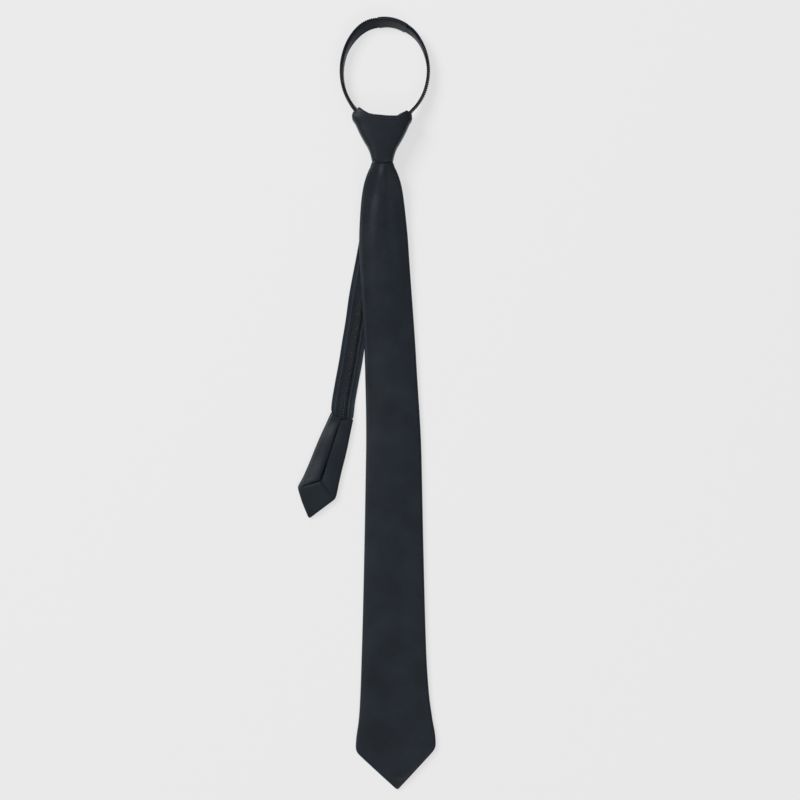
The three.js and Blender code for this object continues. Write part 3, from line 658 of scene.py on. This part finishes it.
def folded_section(station, flap_steps=10, fold_steps=8, panel_steps=44):
    """Points across a strip folded to a seam at the middle of its back, and where each one looks."""
    half, radius = station["half"], station["radius"]
    straight = half - radius
    rows = []

    def flap(side, share):
        peak, height = (0.45, 1.4) if side < 0 else (1, 0.35)
        rise = station["puff"] * height * math.sin(math.pi * share**peak) if 0 < share < 1 else 0
        rows.append((side * lerp(station["seam"], straight, share), -rise, 0, -1))

    def fold(side, share):
        angle = math.pi * (share - 0.5)
        look_u, look_v = side * math.cos(angle), math.sin(angle)
        rows.append((side * straight + radius * look_u, radius + radius * look_v, look_u, look_v))

    for k in range(flap_steps):
        flap(-1, k / flap_steps)
    for k in range(fold_steps + 1):
        fold(-1, k / fold_steps)
    for k in range(1, panel_steps):
        share = 2 * k / panel_steps - 1
        crown = station["crown"] * (1 - share * share)
        from_ridge = clamp(share - station["ridge"], -0.5, 0.5)
        ridge = station["pleat"] * math.cos(math.pi * from_ridge) ** 2
        rows.append((straight * share, 2 * radius + crown + ridge + station["relief"](share), 0, 1))
    for k in range(fold_steps, -1, -1):
        fold(1, k / fold_steps)
    for k in range(flap_steps - 1, -1, -1):
        flap(1, k / flap_steps)
    return np.array(rows)


def folded_strip(stations, places):
    """The skin of a folded strip through its stations."""
    outer, inner, across, along = [], [], [], []
    for station, place in zip(stations, places):
        rows = folded_section(station)
        u, v, look_u, look_v = rows.T
        slope = station["notch"] * (1 - np.abs(u) / station["half"]) - station["tilt"] * u
        for depth, grid in ((0, outer), (CLOTH, inner)):
            grid.append(
                station["origin"]
                + np.outer(u - depth * look_u, station["across"])
                + np.outer(v - depth * look_v, station["front"])
                + np.outer(slope, station["along"])
            )
        run = np.concatenate([[0], np.cumsum(np.hypot(np.diff(u), np.diff(v)))])
        across.append(run - run[-1] / 2)
        along.append(np.full(len(u), place))
    return Sheet(outer, inner, across, along)


def pointed_half(down, body, point, body_half, corner_round):
    """Half the width of a strip that ends in a point, with rounded corners and a blunt tip."""
    side = body_half(min(down, body))
    slant = lerp(body_half(body), TIP_WIDTH / 2, (down - body) / point)
    apart = abs(side - slant) / corner_round
    corner = corner_round * math.log1p(math.exp(-apart))
    into_tip = clamp((down - body - point) / TIP_ROUND + 1, 0, 1)
    rounding = TIP_SHRINK * (1 - math.sqrt(1 - into_tip * into_tip))
    return min(side, slant) - corner - rounding


def flap_edge(down, body, facing, half, radius):
    """From the middle to a flap's free edge: the seam, then the inverted V, then the hem."""
    seam = lerp(SEAM_GAP, SEAM_SPREAD, smoothstep(down, body / 2, body - facing)) / 2
    hem = max(half - radius - HEM, SEAM_GAP / 2)
    return min(lerp(seam, half, clamp((down - body + facing) / facing, 0, 1)), hem)


def spaced(start, end, step):
    count = max(int(math.ceil((end - start) / step)), 1)
    return [lerp(start, end, k / count) for k in range(count + 1)]


zip_across = column(ZIP, "down", "across")
zip_level = column(ZIP, "down", "level")
zip_bend = column(ZIP, "down", "bend")
blade_left = column(ZIP, "down", "left")
blade_right = column(ZIP, "down", "right")
blade_neck = column(BLADE, "down", "neck")
blade_body = column(BLADE, "down", "body")
blade_drift = column(BLADE, "down", "drift")
tail_width = column(TAIL, "down", "width")
knot_flare = column(KNOT, "up", "flare")


def zip_rise(down):
    return (CHAIN_LEVEL - TAPE_REST) * zip_level(down / ZIP_FREE_LENGTH)


def blade_half(down):
    share = down / BLADE_BODY
    collar = NECK_COLLAR * smoothstep(down, -1.4, 0) * (1 - smoothstep(down, 0, 4.5))
    return (blade_neck(share) * NECK_WIDTH + blade_body(share) * BLADE_WIDTH) / 2 + collar


def blade_relief(down):
    """Soft folds below the knot and a faint unevenness all over the front panel."""
    fan = smoothstep(down, 1, 14) * (1 - smoothstep(down, 25, 150))
    flat = smoothstep(down, 10, 60) * (1 - smoothstep(down, BLADE_BODY, BLADE_LENGTH))

    def relief(share):
        height = 0
        for pleat in PLEATS:
            middle = lerp(pleat["start"], pleat["end"], smoothstep(down, 0, 120))
            height += pleat["height"] * math.exp(-(((share - middle) / pleat["width"]) ** 2))
        wander = math.sin(down / 41 + 2.1 * share) * math.cos(down / 67 - 1.3 * share)
        slow = math.sin(down / 97 + 1.1) * math.sin(2.4 * share + 0.6)
        arch = math.cos(math.pi / 2 * clamp(share * 0.8 - 0.4, -1, 1)) ** 2
        bulge = NECK_BULGE * smoothstep(down, 0.2, 2) * (1 - smoothstep(down, 2, 60)) * arch
        inside = 1 - share**8
        return (fan * height + bulge + flat * (0.16 * wander + 0.2 * slow)) * inside

    return relief


def blade_station(down):
    half = pointed_half(down, BLADE_BODY, BLADE_POINT, blade_half, BLADE_CORNER_ROUND)
    to_tip = smoothstep(down, BLADE_LENGTH - BLADE_POINT / 3, BLADE_LENGTH)
    body = lerp(BLADE_THICKNESS, TIP_THICKNESS, to_tip)
    radius = min(lerp(body, NECK_THICKNESS, blade_neck(down / BLADE_BODY)) / 2, half * 0.95)
    under = down / ZIP_FREE_LENGTH
    left = zip_rise(down) + blade_left(under) * ZIP_STACK
    right = zip_rise(down) + blade_right(under) * ZIP_STACK
    roll = math.atan2(right - left, 2 * half)
    fade = 1 - smoothstep(down, 0, BLADE_BODY * 0.16)
    clear = smoothstep(down, 0, BLADE_BODY * 0.03)
    at_point = clamp((down - BLADE_BODY) / BLADE_POINT, 0, 1)
    drift = BLADE_DRIFT * blade_drift(down / BLADE_BODY) + BLADE_TIP_DRIFT * at_point
    return {
        "origin": vec(drift, -down, (left + right) / 2),
        "across": vec(math.cos(roll), 0, math.sin(roll)),
        "front": vec(-math.sin(roll), 0, math.cos(roll)),
        "along": vec(0, -1),
        "half": half,
        "radius": radius,
        "crown": BLADE_CROWN * smoothstep(down, 0, BLADE_BODY * 0.1) * (1 - to_tip),
        "seam": flap_edge(down, BLADE_BODY, BLADE_FACING, half, radius),
        "puff": 0,
        "pleat": BLADE_PLEAT * fade * clear,
        "ridge": lerp(0.1, -0.25, smoothstep(down, 0, 50)),
        "tilt": BLADE_TILT * smoothstep(down, BLADE_BODY * 0.85, BLADE_BODY),
        "notch": 0,
        "relief": blade_relief(down),
    }


TAIL_ALONG = vec(-math.sin(TAIL_TURN), -math.cos(TAIL_TURN))
TAIL_ACROSS = vec(math.cos(TAIL_TURN), -math.sin(TAIL_TURN))
TAIL_TOP = vec(-ZIP_DRIFT, -ZIP_FREE_LENGTH)


def tail_half(down):
    return tail_width(down / TAIL_BODY) * TAIL_WIDTH / 2


def tail_station(down):
    swell = TAIL_SWELL / 2 * smoothstep(down, TAIL_BODY - 8, TAIL_BODY + 4)
    swell *= 1 - smoothstep(down, TAIL_BODY + 8, TAIL_LENGTH + 2)
    half = pointed_half(down, TAIL_BODY, TAIL_POINT, tail_half, TAIL_CORNER_ROUND) + swell
    to_tip = smoothstep(down, TAIL_LENGTH - TAIL_POINT / 3, TAIL_LENGTH)
    thickness = min(lerp(TAIL_THICKNESS, TIP_THICKNESS, to_tip), half * 1.9)
    open_flap = 1 - smoothstep(down, TAIL_BODY - TAIL_FACING, TAIL_BODY)
    return {
        "origin": TAIL_TOP + TAIL_ALONG * down - TAIL_ACROSS * swell + vec(0, 0, thickness),
        "across": TAIL_ACROSS,
        "front": vec(0, 0, -1),
        "along": TAIL_ALONG,
        "half": half,
        "radius": thickness / 2,
        "crown": 0,
        "seam": flap_edge(down, TAIL_BODY, TAIL_FACING, half, thickness / 2),
        "puff": TAIL_PUFF * open_flap * smoothstep(down, 0, TAIL_BODY * 0.3) * (1 + 0.25 * math.sin(down / 6)),
        "pleat": 0,
        "ridge": 0,
        "tilt": 0,
        "notch": TAIL_NOTCH * (1 - smoothstep(down, 0, TAIL_BODY * 0.15)),
        "relief": lambda share: 0,
    }


def blade():
    places = [-NECK_TUCK, -4]
    places += spaced(-1.4, 0, 0.3)
    places += spaced(0, 60, 1.5)[1:]
    places += spaced(60, BLADE_BODY - BLADE_FACING, 4)[1:]
    places += spaced(BLADE_BODY - BLADE_FACING, BLADE_BODY, 2)[1:]
    places += spaced(BLADE_BODY, BLADE_LENGTH - TIP_ROUND, 1.5)[1:]
    places += spaced(BLADE_LENGTH - TIP_ROUND, BLADE_LENGTH, 0.3)[1:]
    skin = folded_strip([blade_station(down) for down in places], places)
    skin.piece("blade_cloth", satin, "satin_cloth", ["blade_shell"])


def tail():
    places = spaced(0, TAIL_BODY - TAIL_FACING, 1.5)
    places += spaced(TAIL_BODY - TAIL_FACING, TAIL_BODY, 1.2)[1:]
    places += spaced(TAIL_BODY, TAIL_LENGTH - TIP_ROUND, 1.2)[1:]
    places += spaced(TAIL_LENGTH - TIP_ROUND, TAIL_LENGTH, 0.3)[1:]
    skin = folded_strip([tail_station(down) for down in places], places)
    skin.piece("tail_cloth", satin, "satin_cloth", ["tail_shell"])


def facing(name, node, station, start, body, point):
    """The facing inside a point, tucked under the flaps and rising a little where it shows."""
    length = body + point
    places = spaced(start, body, 1.5) + spaced(body, length - 1, 0.9)[1:]
    grids = ([], [])
    across, along = [], []
    for down in places:
        s = station(down)
        half, radius = s["half"], s["radius"]
        reach = half - radius * 0.3
        edge = lerp(s["seam"], half + 3, smoothstep(down, body - 2.5, body + 0.5))
        u = np.linspace(-reach, reach, 41)
        shown = np.array([smoothstep(edge - abs(x), 0, 2.5) for x in u])
        curl = np.clip(np.abs(u) - half + radius, 0, None)
        fold = radius - np.sqrt(radius**2 - curl**2)
        level = (CLOTH + 0.15) * (1 - shown) + (fold - 0.12) * shown
        for grid, depth in zip(grids, (level, level + FACING_THICKNESS)):
            slope = np.outer(-s["tilt"] * u, s["along"])
            grid.append(s["origin"] + np.outer(u, s["across"]) + np.outer(depth, s["front"]) + slope)
        across.append(u)
        along.append(np.full(len(u), down))
    Sheet(*grids, across, along).piece(name, facing_cloth, "facing_cloth", [node])


# Knot


def rim_curve():
    """Height of the knot's top edge by the angle round its section, as two lists."""
    found = []
    for face, rows in KNOT_RIM.items():
        for row in rows:
            at = row["at"]
            rounded = (1 - abs(at) ** KNOT_SQUARENESS) ** (1 / KNOT_SQUARENESS)
            x, z = {
                "front": (at, rounded),
                "back": (at, -rounded),
                "right": (rounded, at),
                "left": (-rounded, at),
            }[face]
            found.append((math.atan2(z, x), row["top"]))
    found.sort()
    return [a for a, _ in found], [top for _, top in found]


RIM_ANGLES, RIM_TOPS = rim_curve()


def knot_point(angle, share, inset):
    """A point of the knot's wall, by the angle round it and the share of the way up to its edge."""
    c, s = math.cos(angle), math.sin(angle)
    stretch = (abs(c) ** KNOT_SQUARENESS + abs(s) ** KNOT_SQUARENESS) ** (-1 / KNOT_SQUARENESS)
    x, z = c * stretch, s * stretch
    top = np.interp(angle, RIM_ANGLES, RIM_TOPS, period=2 * math.pi)
    front = smoothstep(z, 0.2, 0.9)
    bottom = lerp(KNOT_BACK_RISE, -KNOT_SMILE * (1 - 2 * x * x), front)
    up = lerp(bottom, top, share)
    half_width = lerp(KNOT_WAIST, KNOT_WIDTH, knot_flare(up)) / 2
    if x < 0:
        half_width += EAR_SWELL * math.exp(-(((up - 1.02) / 0.09) ** 2))
    half_depth = lerp(KNOT_WAIST_DEPTH, KNOT_DEPTH, clamp(up, 0, 1)) / 2
    point = vec(x * (half_width - inset), up * KNOT_HEIGHT, half_depth + z * (half_depth - inset))
    turned_under = KNOT_LIP * (1 - smoothstep(share, 0, 0.05)) if inset == 0 else 0
    return point - vec(0, 0, (crease_depth(point) + turned_under) * front)


def crease_depth(point):
    depth = 0
    for crease in CREASES:
        start = np.array([crease["x1"], crease["y1"]])
        way = np.array([crease["x2"], crease["y2"]]) - start
        share = clamp(np.dot(point[:2] - start, way) / np.dot(way, way), 0, 1)
        away = np.linalg.norm(point[:2] - start - way * share)
        depth = max(depth, crease["depth"] * math.exp(-((away / crease["width"]) ** 2)))
    return depth


def knot():
    angles = np.linspace(-math.pi, math.pi, 181)[:-1]
    shares = np.linspace(0, 1, 52)
    grids = [
        np.array([[knot_point(a, share, inset) for a in angles] for share in shares])
        for inset in (0, KNOT_WALL)
    ]
    ring = np.append(grids[0], grids[0][:, :1], axis=1)
    steps = np.linalg.norm(np.diff(ring, axis=1), axis=2)
    across = np.concatenate([np.zeros((len(shares), 1)), np.cumsum(steps, axis=1)], axis=1)
    across -= across[:, -1:] * 0.75
    along = np.append(grids[0][:, :, 1], grids[0][:, :1, 1], axis=1)
    skin = Sheet(*grids, across, along, closes=True)
    skin.piece("knot_cloth", satin, "satin_cloth", ["knot_wrap"])


# Zip


def zip_frame(edge, heading, side, roll, bend=0.0, reach=HALF_ZIP):
    across = unit(np.cross(heading, vec(0, 0, 1))) * side
    turn = math.radians(roll)
    out = across * math.cos(turn) - vec(0, 0, math.sin(turn))
    look = across * math.sin(turn) + vec(0, 0, math.cos(turn))
    return np.concatenate([edge, out, look, [math.radians(bend), reach]])


def zip_middle(down):
    rest = TAIL_THICKNESS / 2 - TAPE_REST
    enter = rest * smoothstep(down, ZIP_FREE_LENGTH - 2 * ZIP_TUCK, ZIP_FREE_LENGTH - TUCK_START)
    x = -ZIP_DRIFT * zip_across(down / ZIP_FREE_LENGTH)
    return vec(x, -down, TAPE_REST + zip_rise(down) + enter)


def closed_frame(side, down):
    heading = zip_middle(down - 1) - zip_middle(down + 1)
    heading[2] = 0
    heading = unit(heading) if down >= 0 else vec(0, 1)
    turn = smoothstep(down, ZIP_FREE_LENGTH - TAIL_APPROACH, ZIP_FREE_LENGTH)
    heading = unit(lerp(heading, -TAIL_ALONG, turn))
    across = vec(heading[1], -heading[0]) * side * CLEARANCE / 2
    in_knot = lerp(zip_bend(0), SLIDER_BEND, smoothstep(-down, SLIDER_FOOT * 0.2, SLIDER_FOOT))
    bend = in_knot if down < 0 else zip_bend(down / ZIP_FREE_LENGTH)
    start = ZIP_FREE_LENGTH - TUCK_START
    turn_in = TUCK_NARROWING * smoothstep(down, start, ZIP_FREE_LENGTH - TUCK_END)
    return zip_frame(zip_middle(down) + across, heading, side, 0, bend, HALF_ZIP - turn_in)


def tucked_frame(side, depth):
    middle = TAIL_TOP + TAIL_ALONG * depth + vec(0, 0, TAIL_THICKNESS / 2)
    edge = middle + TAIL_ACROSS * side * CLEARANCE / 2
    return zip_frame(edge, -TAIL_ALONG, side, 0, 0, HALF_ZIP - TUCK_NARROWING)


def loop_tables(side):
    rows = LOOP_LEFT if side < 0 else LOOP_RIGHT
    return [column(rows, "around", name) for name in ("lean", "out", "knot", "sleeve")]


LOOP_COLUMNS = {side: loop_tables(side) for side in (-1, 1)}
LOOP_START = {-1: LOOP_LEFT_END, 1: LOOP_RIGHT_END}


def loop_frame(side, around, out=None):
    """A frame on one standing half, at the table's own distance outwards unless one is given."""
    lean_of, out_of, knot_of, sleeve_of = LOOP_COLUMNS[side]
    angle = math.radians(lerp(LOOP_START[side], SLEEVE_MIDDLE, around))
    lean = lean_of(around)
    lift = KNOT_LIFT * knot_of(around) + SLEEVE_LIFT * sleeve_of(around)
    half_width, half_height = LOOP_WIDTH / 2, LOOP_HEIGHT / 2
    x = LOOP_CENTRE[0] + half_width * math.cos(angle)
    y = LOOP_CENTRE[1] + half_height * math.sin(angle)
    heading = unit(vec(-half_width * math.sin(angle), half_height * math.cos(angle))) * side
    made = zip_frame(vec(x, y), heading, side, 90 + lean)
    tilt = math.radians(lean)
    height = HALF_ZIP * math.cos(tilt) + TAPE_REST * abs(math.sin(tilt))
    made[:3] -= made[3:6] * HALF_ZIP / 2
    outwards = out_of(around) if out is None else out
    made[:2] += np.array([heading[1], -heading[0]]) * side * outwards
    made[2] = lift + height
    return made


def split_frame(side, share):
    corner = loop_frame(side, 0)
    arrival = loop_frame(side, 0.01)[:3] - corner[:3]
    arrival[2] = 0
    arrival = unit(arrival)
    start = vec(side * CLEARANCE / 2, SLIDER_FOOT + SLIDER_INLET, CHAIN_LEVEL)
    guide = start + vec(0, SLIDER_GUIDE)
    before = corner[:3] - arrival * SPLIT_RUN
    end = corner[:3]
    t, r = share, 1 - share
    edge = start * r**3 + guide * 3 * t * r * r + before * 3 * t * t * r + end * t**3
    heading = (guide - start) * r * r + (before - guide) * 2 * t * r + (end - before) * t * t
    heading[2] = 0
    turned = smoothstep(share, SPLIT_LEVEL, 1)
    edge[2] = lerp(CHAIN_LEVEL, corner[2], turned)
    upright = 90 + LOOP_COLUMNS[side][0](0)
    return zip_frame(edge, unit(heading), side, upright * turned, SLIDER_BEND * (1 - share))


class Half:
    """One half of the zip: its frames by the distance along its coil's edge."""

    def __init__(self, side):
        self.side = side
        frames = [tucked_frame(side, depth) for depth in (ZIP_TUCK, ZIP_TUCK / 2, TUCK_END)]
        closed = spaced(-(ZIP_FREE_LENGTH - TUCK_END), SLIDER_FOOT, 1.5)
        frames += [closed_frame(side, -at) for at in closed]
        frames += [split_frame(side, k / 36) for k in range(36)]
        frames += [loop_frame(side, around) for around in np.linspace(0, 0.995, 72)]
        self.frames = np.array(frames)
        steps = np.linalg.norm(np.diff(self.frames[:, :3], axis=0), axis=1)
        self.run = np.concatenate([[0], np.cumsum(steps)])
        self.start = self.run[3] - COIL_TUCK
        self.parted = self.run[-108]
        self.standing = self.run[-72]
        sleeve = SLEEVE_LEFT_END if side < 0 else SLEEVE_RIGHT_END
        share = (sleeve - LOOP_START[side]) / (SLEEVE_MIDDLE - LOOP_START[side])
        self.sleeve = np.interp(share * 71 / 0.995, range(72), self.run[-72:])
        self.length = self.run[-1]

    def at(self, places):
        """The frames at some distances along the half."""
        columns = [np.interp(places, self.run, self.frames[:, k]) for k in range(self.frames.shape[1])]
        found = np.stack(columns, axis=1)
        for part in (slice(3, 6), slice(6, 9)):
            found[:, part] /= np.linalg.norm(found[:, part], axis=1, keepdims=True)
        return found

    def point(self, frames, reach, height):
        """Points at a reach across the tape and a height over its middle, one for each frame."""
        reach = np.broadcast_to(reach, len(frames)).astype(float)
        height = np.broadcast_to(height, len(frames)).astype(float)[:, None]
        edge, out, look, bend = frames[:, :3], frames[:, 3:6], frames[:, 6:9], frames[:, 9]
        folded = bend * np.clip((reach - TAPE_KNEE) / 0.6 + 0.5, 0, 1)
        inner = np.minimum(reach, TAPE_KNEE)[:, None]
        wing = np.maximum(reach - TAPE_KNEE, 0)
        across = inner * out + (wing * np.cos(bend))[:, None] * out - (wing * np.sin(bend))[:, None] * look
        rise = np.cos(folded)[:, None] * look + np.sin(folded)[:, None] * out
        return edge + across + height * rise


def zip_tape(half, name, node):
    places = np.array(spaced(0, half.length, 1.4))
    frames = half.at(places)
    inner = np.interp(places, (half.start, half.start + 2), (-CLEARANCE / 2, TAPE_EDGE))
    grids = []
    for face in ("top", "base"):
        columns = []
        for row in TAPE_SECTION:
            share = (row["reach"] - TAPE_EDGE) / (HALF_ZIP - TAPE_EDGE)
            columns.append(half.point(frames, lerp(inner, frames[:, 10], share), row[face]))
        grids.append(np.stack(columns, axis=1))
    reaches = np.array([row["reach"] for row in TAPE_SECTION])
    across = np.tile(reaches * half.side, (len(places), 1))
    along = np.tile(places[:, None], (1, len(reaches)))
    Sheet(*grids, across, along).piece(name, tape_weave, "zip_tape", [node], sharp=60)


def tubes(paths, radii, sides, closed_ends=True):
    """Round tubes along paths of points, each with its own radius at each point."""
    points, faces = [], []
    for path, radius in zip(paths, radii):
        path = np.asarray(path)
        along = np.gradient(path, axis=0)
        along /= np.linalg.norm(along, axis=1, keepdims=True)
        normal = np.cross(along[0], vec(0.31, 0.17, 0.93))
        normal = unit(normal)
        start = len(points)
        for k, centre in enumerate(path):
            normal = unit(normal - along[k] * np.dot(normal, along[k]))
            other = np.cross(along[k], normal)
            for j in range(sides):
                angle = 2 * math.pi * j / sides
                points.append(centre + radius[k] * (math.cos(angle) * normal + math.sin(angle) * other))
        for k in range(len(path) - 1):
            low, high = start + k * sides, start + (k + 1) * sides
            for j in range(sides):
                n = (j + 1) % sides
                faces.append((low + j, low + n, high + n, high + j))
        if closed_ends:
            faces.append(tuple(range(start + sides - 1, start - 1, -1)))
            last = start + (len(path) - 1) * sides
            faces.append(tuple(range(last, last + sides)))
    return points, faces


def zip_teeth(half, name, node):
    """The nylon coil of one half, wound round tooth by tooth."""
    offset = TOOTH_PITCH / 2 if half.side > 0 else 0
    first = half.start + offset
    count = int((half.sleeve - first) / TOOTH_PITCH) + 1
    along, reach, height, thick = [], [], [], []
    for tooth in range(count):
        for row in TOOTH:
            along.append(first + (tooth + row["along"]) * TOOTH_PITCH)
            reach.append(row["reach"])
            height.append(row["height"])
            thick.append(row["thick"] * TOOTH_WIRE / 2)
    path = half.point(half.at(np.array(along)), np.array(reach), np.array(height))
    core = np.array(spaced(first, half.sleeve + 0.8, 1.5))
    core_path = half.point(half.at(core), CORE_REACH, CORE_LEVEL)
    edge = np.array(spaced(half.parted, half.sleeve + 0.8, 1.5))
    edge_reach = np.interp(edge, (half.parted, half.standing), (CORE_REACH, EDGE_REACH))
    edge_path = half.point(half.at(edge), edge_reach, CORE_LEVEL)
    radii = [thick, [CORE_RADIUS] * len(core), [CORE_RADIUS] * len(edge)]
    points, faces = tubes([path, core_path, edge_path], radii, 8)
    piece(name, points, faces, None, nylon, [node])


def stitch(centre, along, up, length, width, rise):
    """The path and the radii of one short stitch that dips into the cloth at both ends."""
    path, radii = [], []
    for t in (-1, -0.72, -0.3, 0.3, 0.72, 1):
        lift = rise * (1 - t * t) - 0.12
        path.append(centre + along * length / 2 * t + up * lift)
        radii.append(width / 2 * (1 - 0.55 * t * t))
    return path, radii


def zip_stitches():
    """The rows of thread that hold the coils: one over the coil and one on the tape beside it."""
    paths, radii = [], []
    for half in HALVES:
        rows = ((1.95, 1.82, 0.55), (3.95, 0.5, 0.5))
        for reach, height, width in rows:
            places = np.arange(half.start + 1.2, half.sleeve - 1, TOOTH_PITCH)
            frames = half.at(places)
            ahead = half.at(places + 0.4)
            centres = half.point(frames, reach, height)
            nexts = half.point(ahead, reach, height)
            for k in range(len(places)):
                along = unit(nexts[k] - centres[k])
                path, radius = stitch(centres[k], along, frames[k, 6:9], 1.25, width, 0.16)
                paths.append(path)
                radii.append(radius)
    points, faces = tubes(paths, radii, 6)
    piece("zip_stitching", points, faces, None, thread)


def sleeve():
    """The cloth sleeve that joins the two tapes behind the neck."""
    top, bottom = TAPE_EDGE - SLEEVE_ROOM, HALF_ZIP + SLEEVE_ROOM
    turns = [2 * math.pi * k / 48 for k in range(48)]
    shares = np.linspace(0, 1, 30)
    grids = ([], [])
    for share in shares:
        angle = lerp(SLEEVE_LEFT_END, SLEEVE_RIGHT_END, share)
        side = -1 if angle > SLEEVE_MIDDLE else 1
        around = (angle - LOOP_START[side]) / (SLEEVE_MIDDLE - LOOP_START[side])
        made = loop_frame(side, around, 0)
        edge, out, look = made[:3], made[3:6], made[6:9]
        for grid, wall in zip(grids, (SLEEVE_WALL, 0.25)):
            row = []
            for turn in turns:
                c, s = math.cos(turn), math.sin(turn)
                across = math.copysign(abs(c) ** 0.45, c) * ((bottom - top) / 2 + wall)
                thick = SLEEVE_FRONT if s > 0 else SLEEVE_BACK
                height = math.copysign(abs(s) ** 0.6, s) * (thick + wall)
                row.append(edge + out * ((top + bottom) / 2 + across) + look * height)
            grid.append(row)
    across = np.tile(np.linspace(0, 22, 49), (len(shares), 1))
    along = np.tile((shares * 24)[:, None], (1, 49))
    Sheet(*grids, across, along, closes=True).piece("sleeve_cloth", satin, "satin_cloth", ["neck_sleeve"])


def knot_stitches():
    """The row of stitches under the knot's top edge."""
    paths, radii = [], []
    for x in np.arange(-16.4, 17.8, 2.85):
        angle = knot_angle(x)
        place = stitch_place(angle, 2.3)
        ahead = stitch_place(knot_angle(x + 0.5), 2.3)
        path, radius = stitch(place, unit(ahead - place), vec(0, 0, 1), 1.7, 0.6, 0.42)
        paths.append(path)
        radii.append(radius)
    points, faces = tubes(paths, radii, 8)
    piece("knot_stitching", points, faces, None, thread)


def knot_angle(x):
    """The angle round the knot of a place on its front near the top edge, by its distance x."""
    share = clamp(x / (KNOT_WIDTH / 2), -0.95, 0.95)
    return math.atan2((1 - abs(share) ** KNOT_SQUARENESS) ** (1 / KNOT_SQUARENESS), share)


def stitch_place(angle, below):
    top = np.interp(angle, RIM_ANGLES, RIM_TOPS, period=2 * math.pi)
    return knot_point(angle, 1 - below / (top * KNOT_HEIGHT), 0)


HALVES = [Half(-1), Half(1)]

blade()
facing("blade_facing", "blade_tipping", blade_station, BLADE_BODY - BLADE_FACING - FACING_LAP, BLADE_BODY, BLADE_POINT)
knot()
knot_stitches()
for half, word in zip(HALVES, ("left", "right")):
    zip_tape(half, "woven_tape_" + word, "zip_tape_" + word)
    zip_teeth(half, "coil_teeth_" + word, "zip_coil_" + word)
zip_stitches()
sleeve()
tail()
facing("tail_facing", "tail_tipping", tail_station, TAIL_BODY - TAIL_FACING - FACING_LAP, TAIL_BODY, TAIL_POINT)


def slider():
    """The slider keeps its solid, with softened edges and worn paint."""
    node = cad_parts["zip_slider"]
    node.data.materials.clear()
    node.data.materials.append(paint)
    bevel = node.modifiers.new("soft edges", "BEVEL")
    bevel.width = 0.25 * MM
    bevel.segments = 3


slider()


# Stage, light and camera


def floor():
    mesh = bpy.data.meshes.new("floor")
    size = 15.0
    mesh.from_pydata([(-size, -size, 0), (size, -size, 0), (size, size, 0), (-size, size, 0)], [], [(0, 1, 2, 3)])
    material, principled = shader("floor", Roughness=0.9, Specular_IOR_Level=0.1, Emission_Strength=0.658)
    nodes = Nodes(material)
    place = nodes.add("ShaderNodeTexCoord")
    faint = nodes.noise(place.outputs["Object"], 2.0)
    tinted(nodes, principled, (0.2, 0.2, 0.2), faint, 0.004)
    mesh.materials.append(material)
    made = bpy.data.objects.new("floor", mesh)
    made.location.z = -0.0002
    bpy.context.scene.collection.objects.link(made)


def softbox(name, place, size, power):
    """A square soft light that faces the middle of the tie."""
    light = bpy.data.lights.new(name, "AREA")
    light.size = size
    light.energy = power
    made = bpy.data.objects.new(name, light)
    made.location = place
    made.rotation_mode = "QUATERNION"
    made.rotation_quaternion = Vector(place).to_track_quat("Z", "Y")
    bpy.context.scene.collection.objects.link(made)


def lighting():
    world = bpy.data.worlds.new("studio")
    world.use_nodes = True
    background = world.node_tree.nodes["Background"]
    background.inputs["Color"].default_value = (1, 1, 1, 1)
    background.inputs["Strength"].default_value = 0.12
    bpy.context.scene.world = world
    softbox("key", (-3.2, 2.6, 3.8), 2.6, 270)
    softbox("fill", (1.8, -3.2, 3.8), 2.8, 52)
    bpy.context.scene.view_settings.view_transform = "Standard"


def camera():
    data = bpy.data.cameras.new("camera")
    data.sensor_width = 36
    data.lens = 36 * CAMERA_HEIGHT / VIEW_WIDTH
    data.clip_start = 0.05
    made = bpy.data.objects.new("camera", data)
    made.location = (CAMERA_X * MM, CAMERA_Y * MM, CAMERA_HEIGHT * MM)
    bpy.context.scene.collection.objects.link(made)
    bpy.context.scene.camera = made


floor()
lighting()
camera()
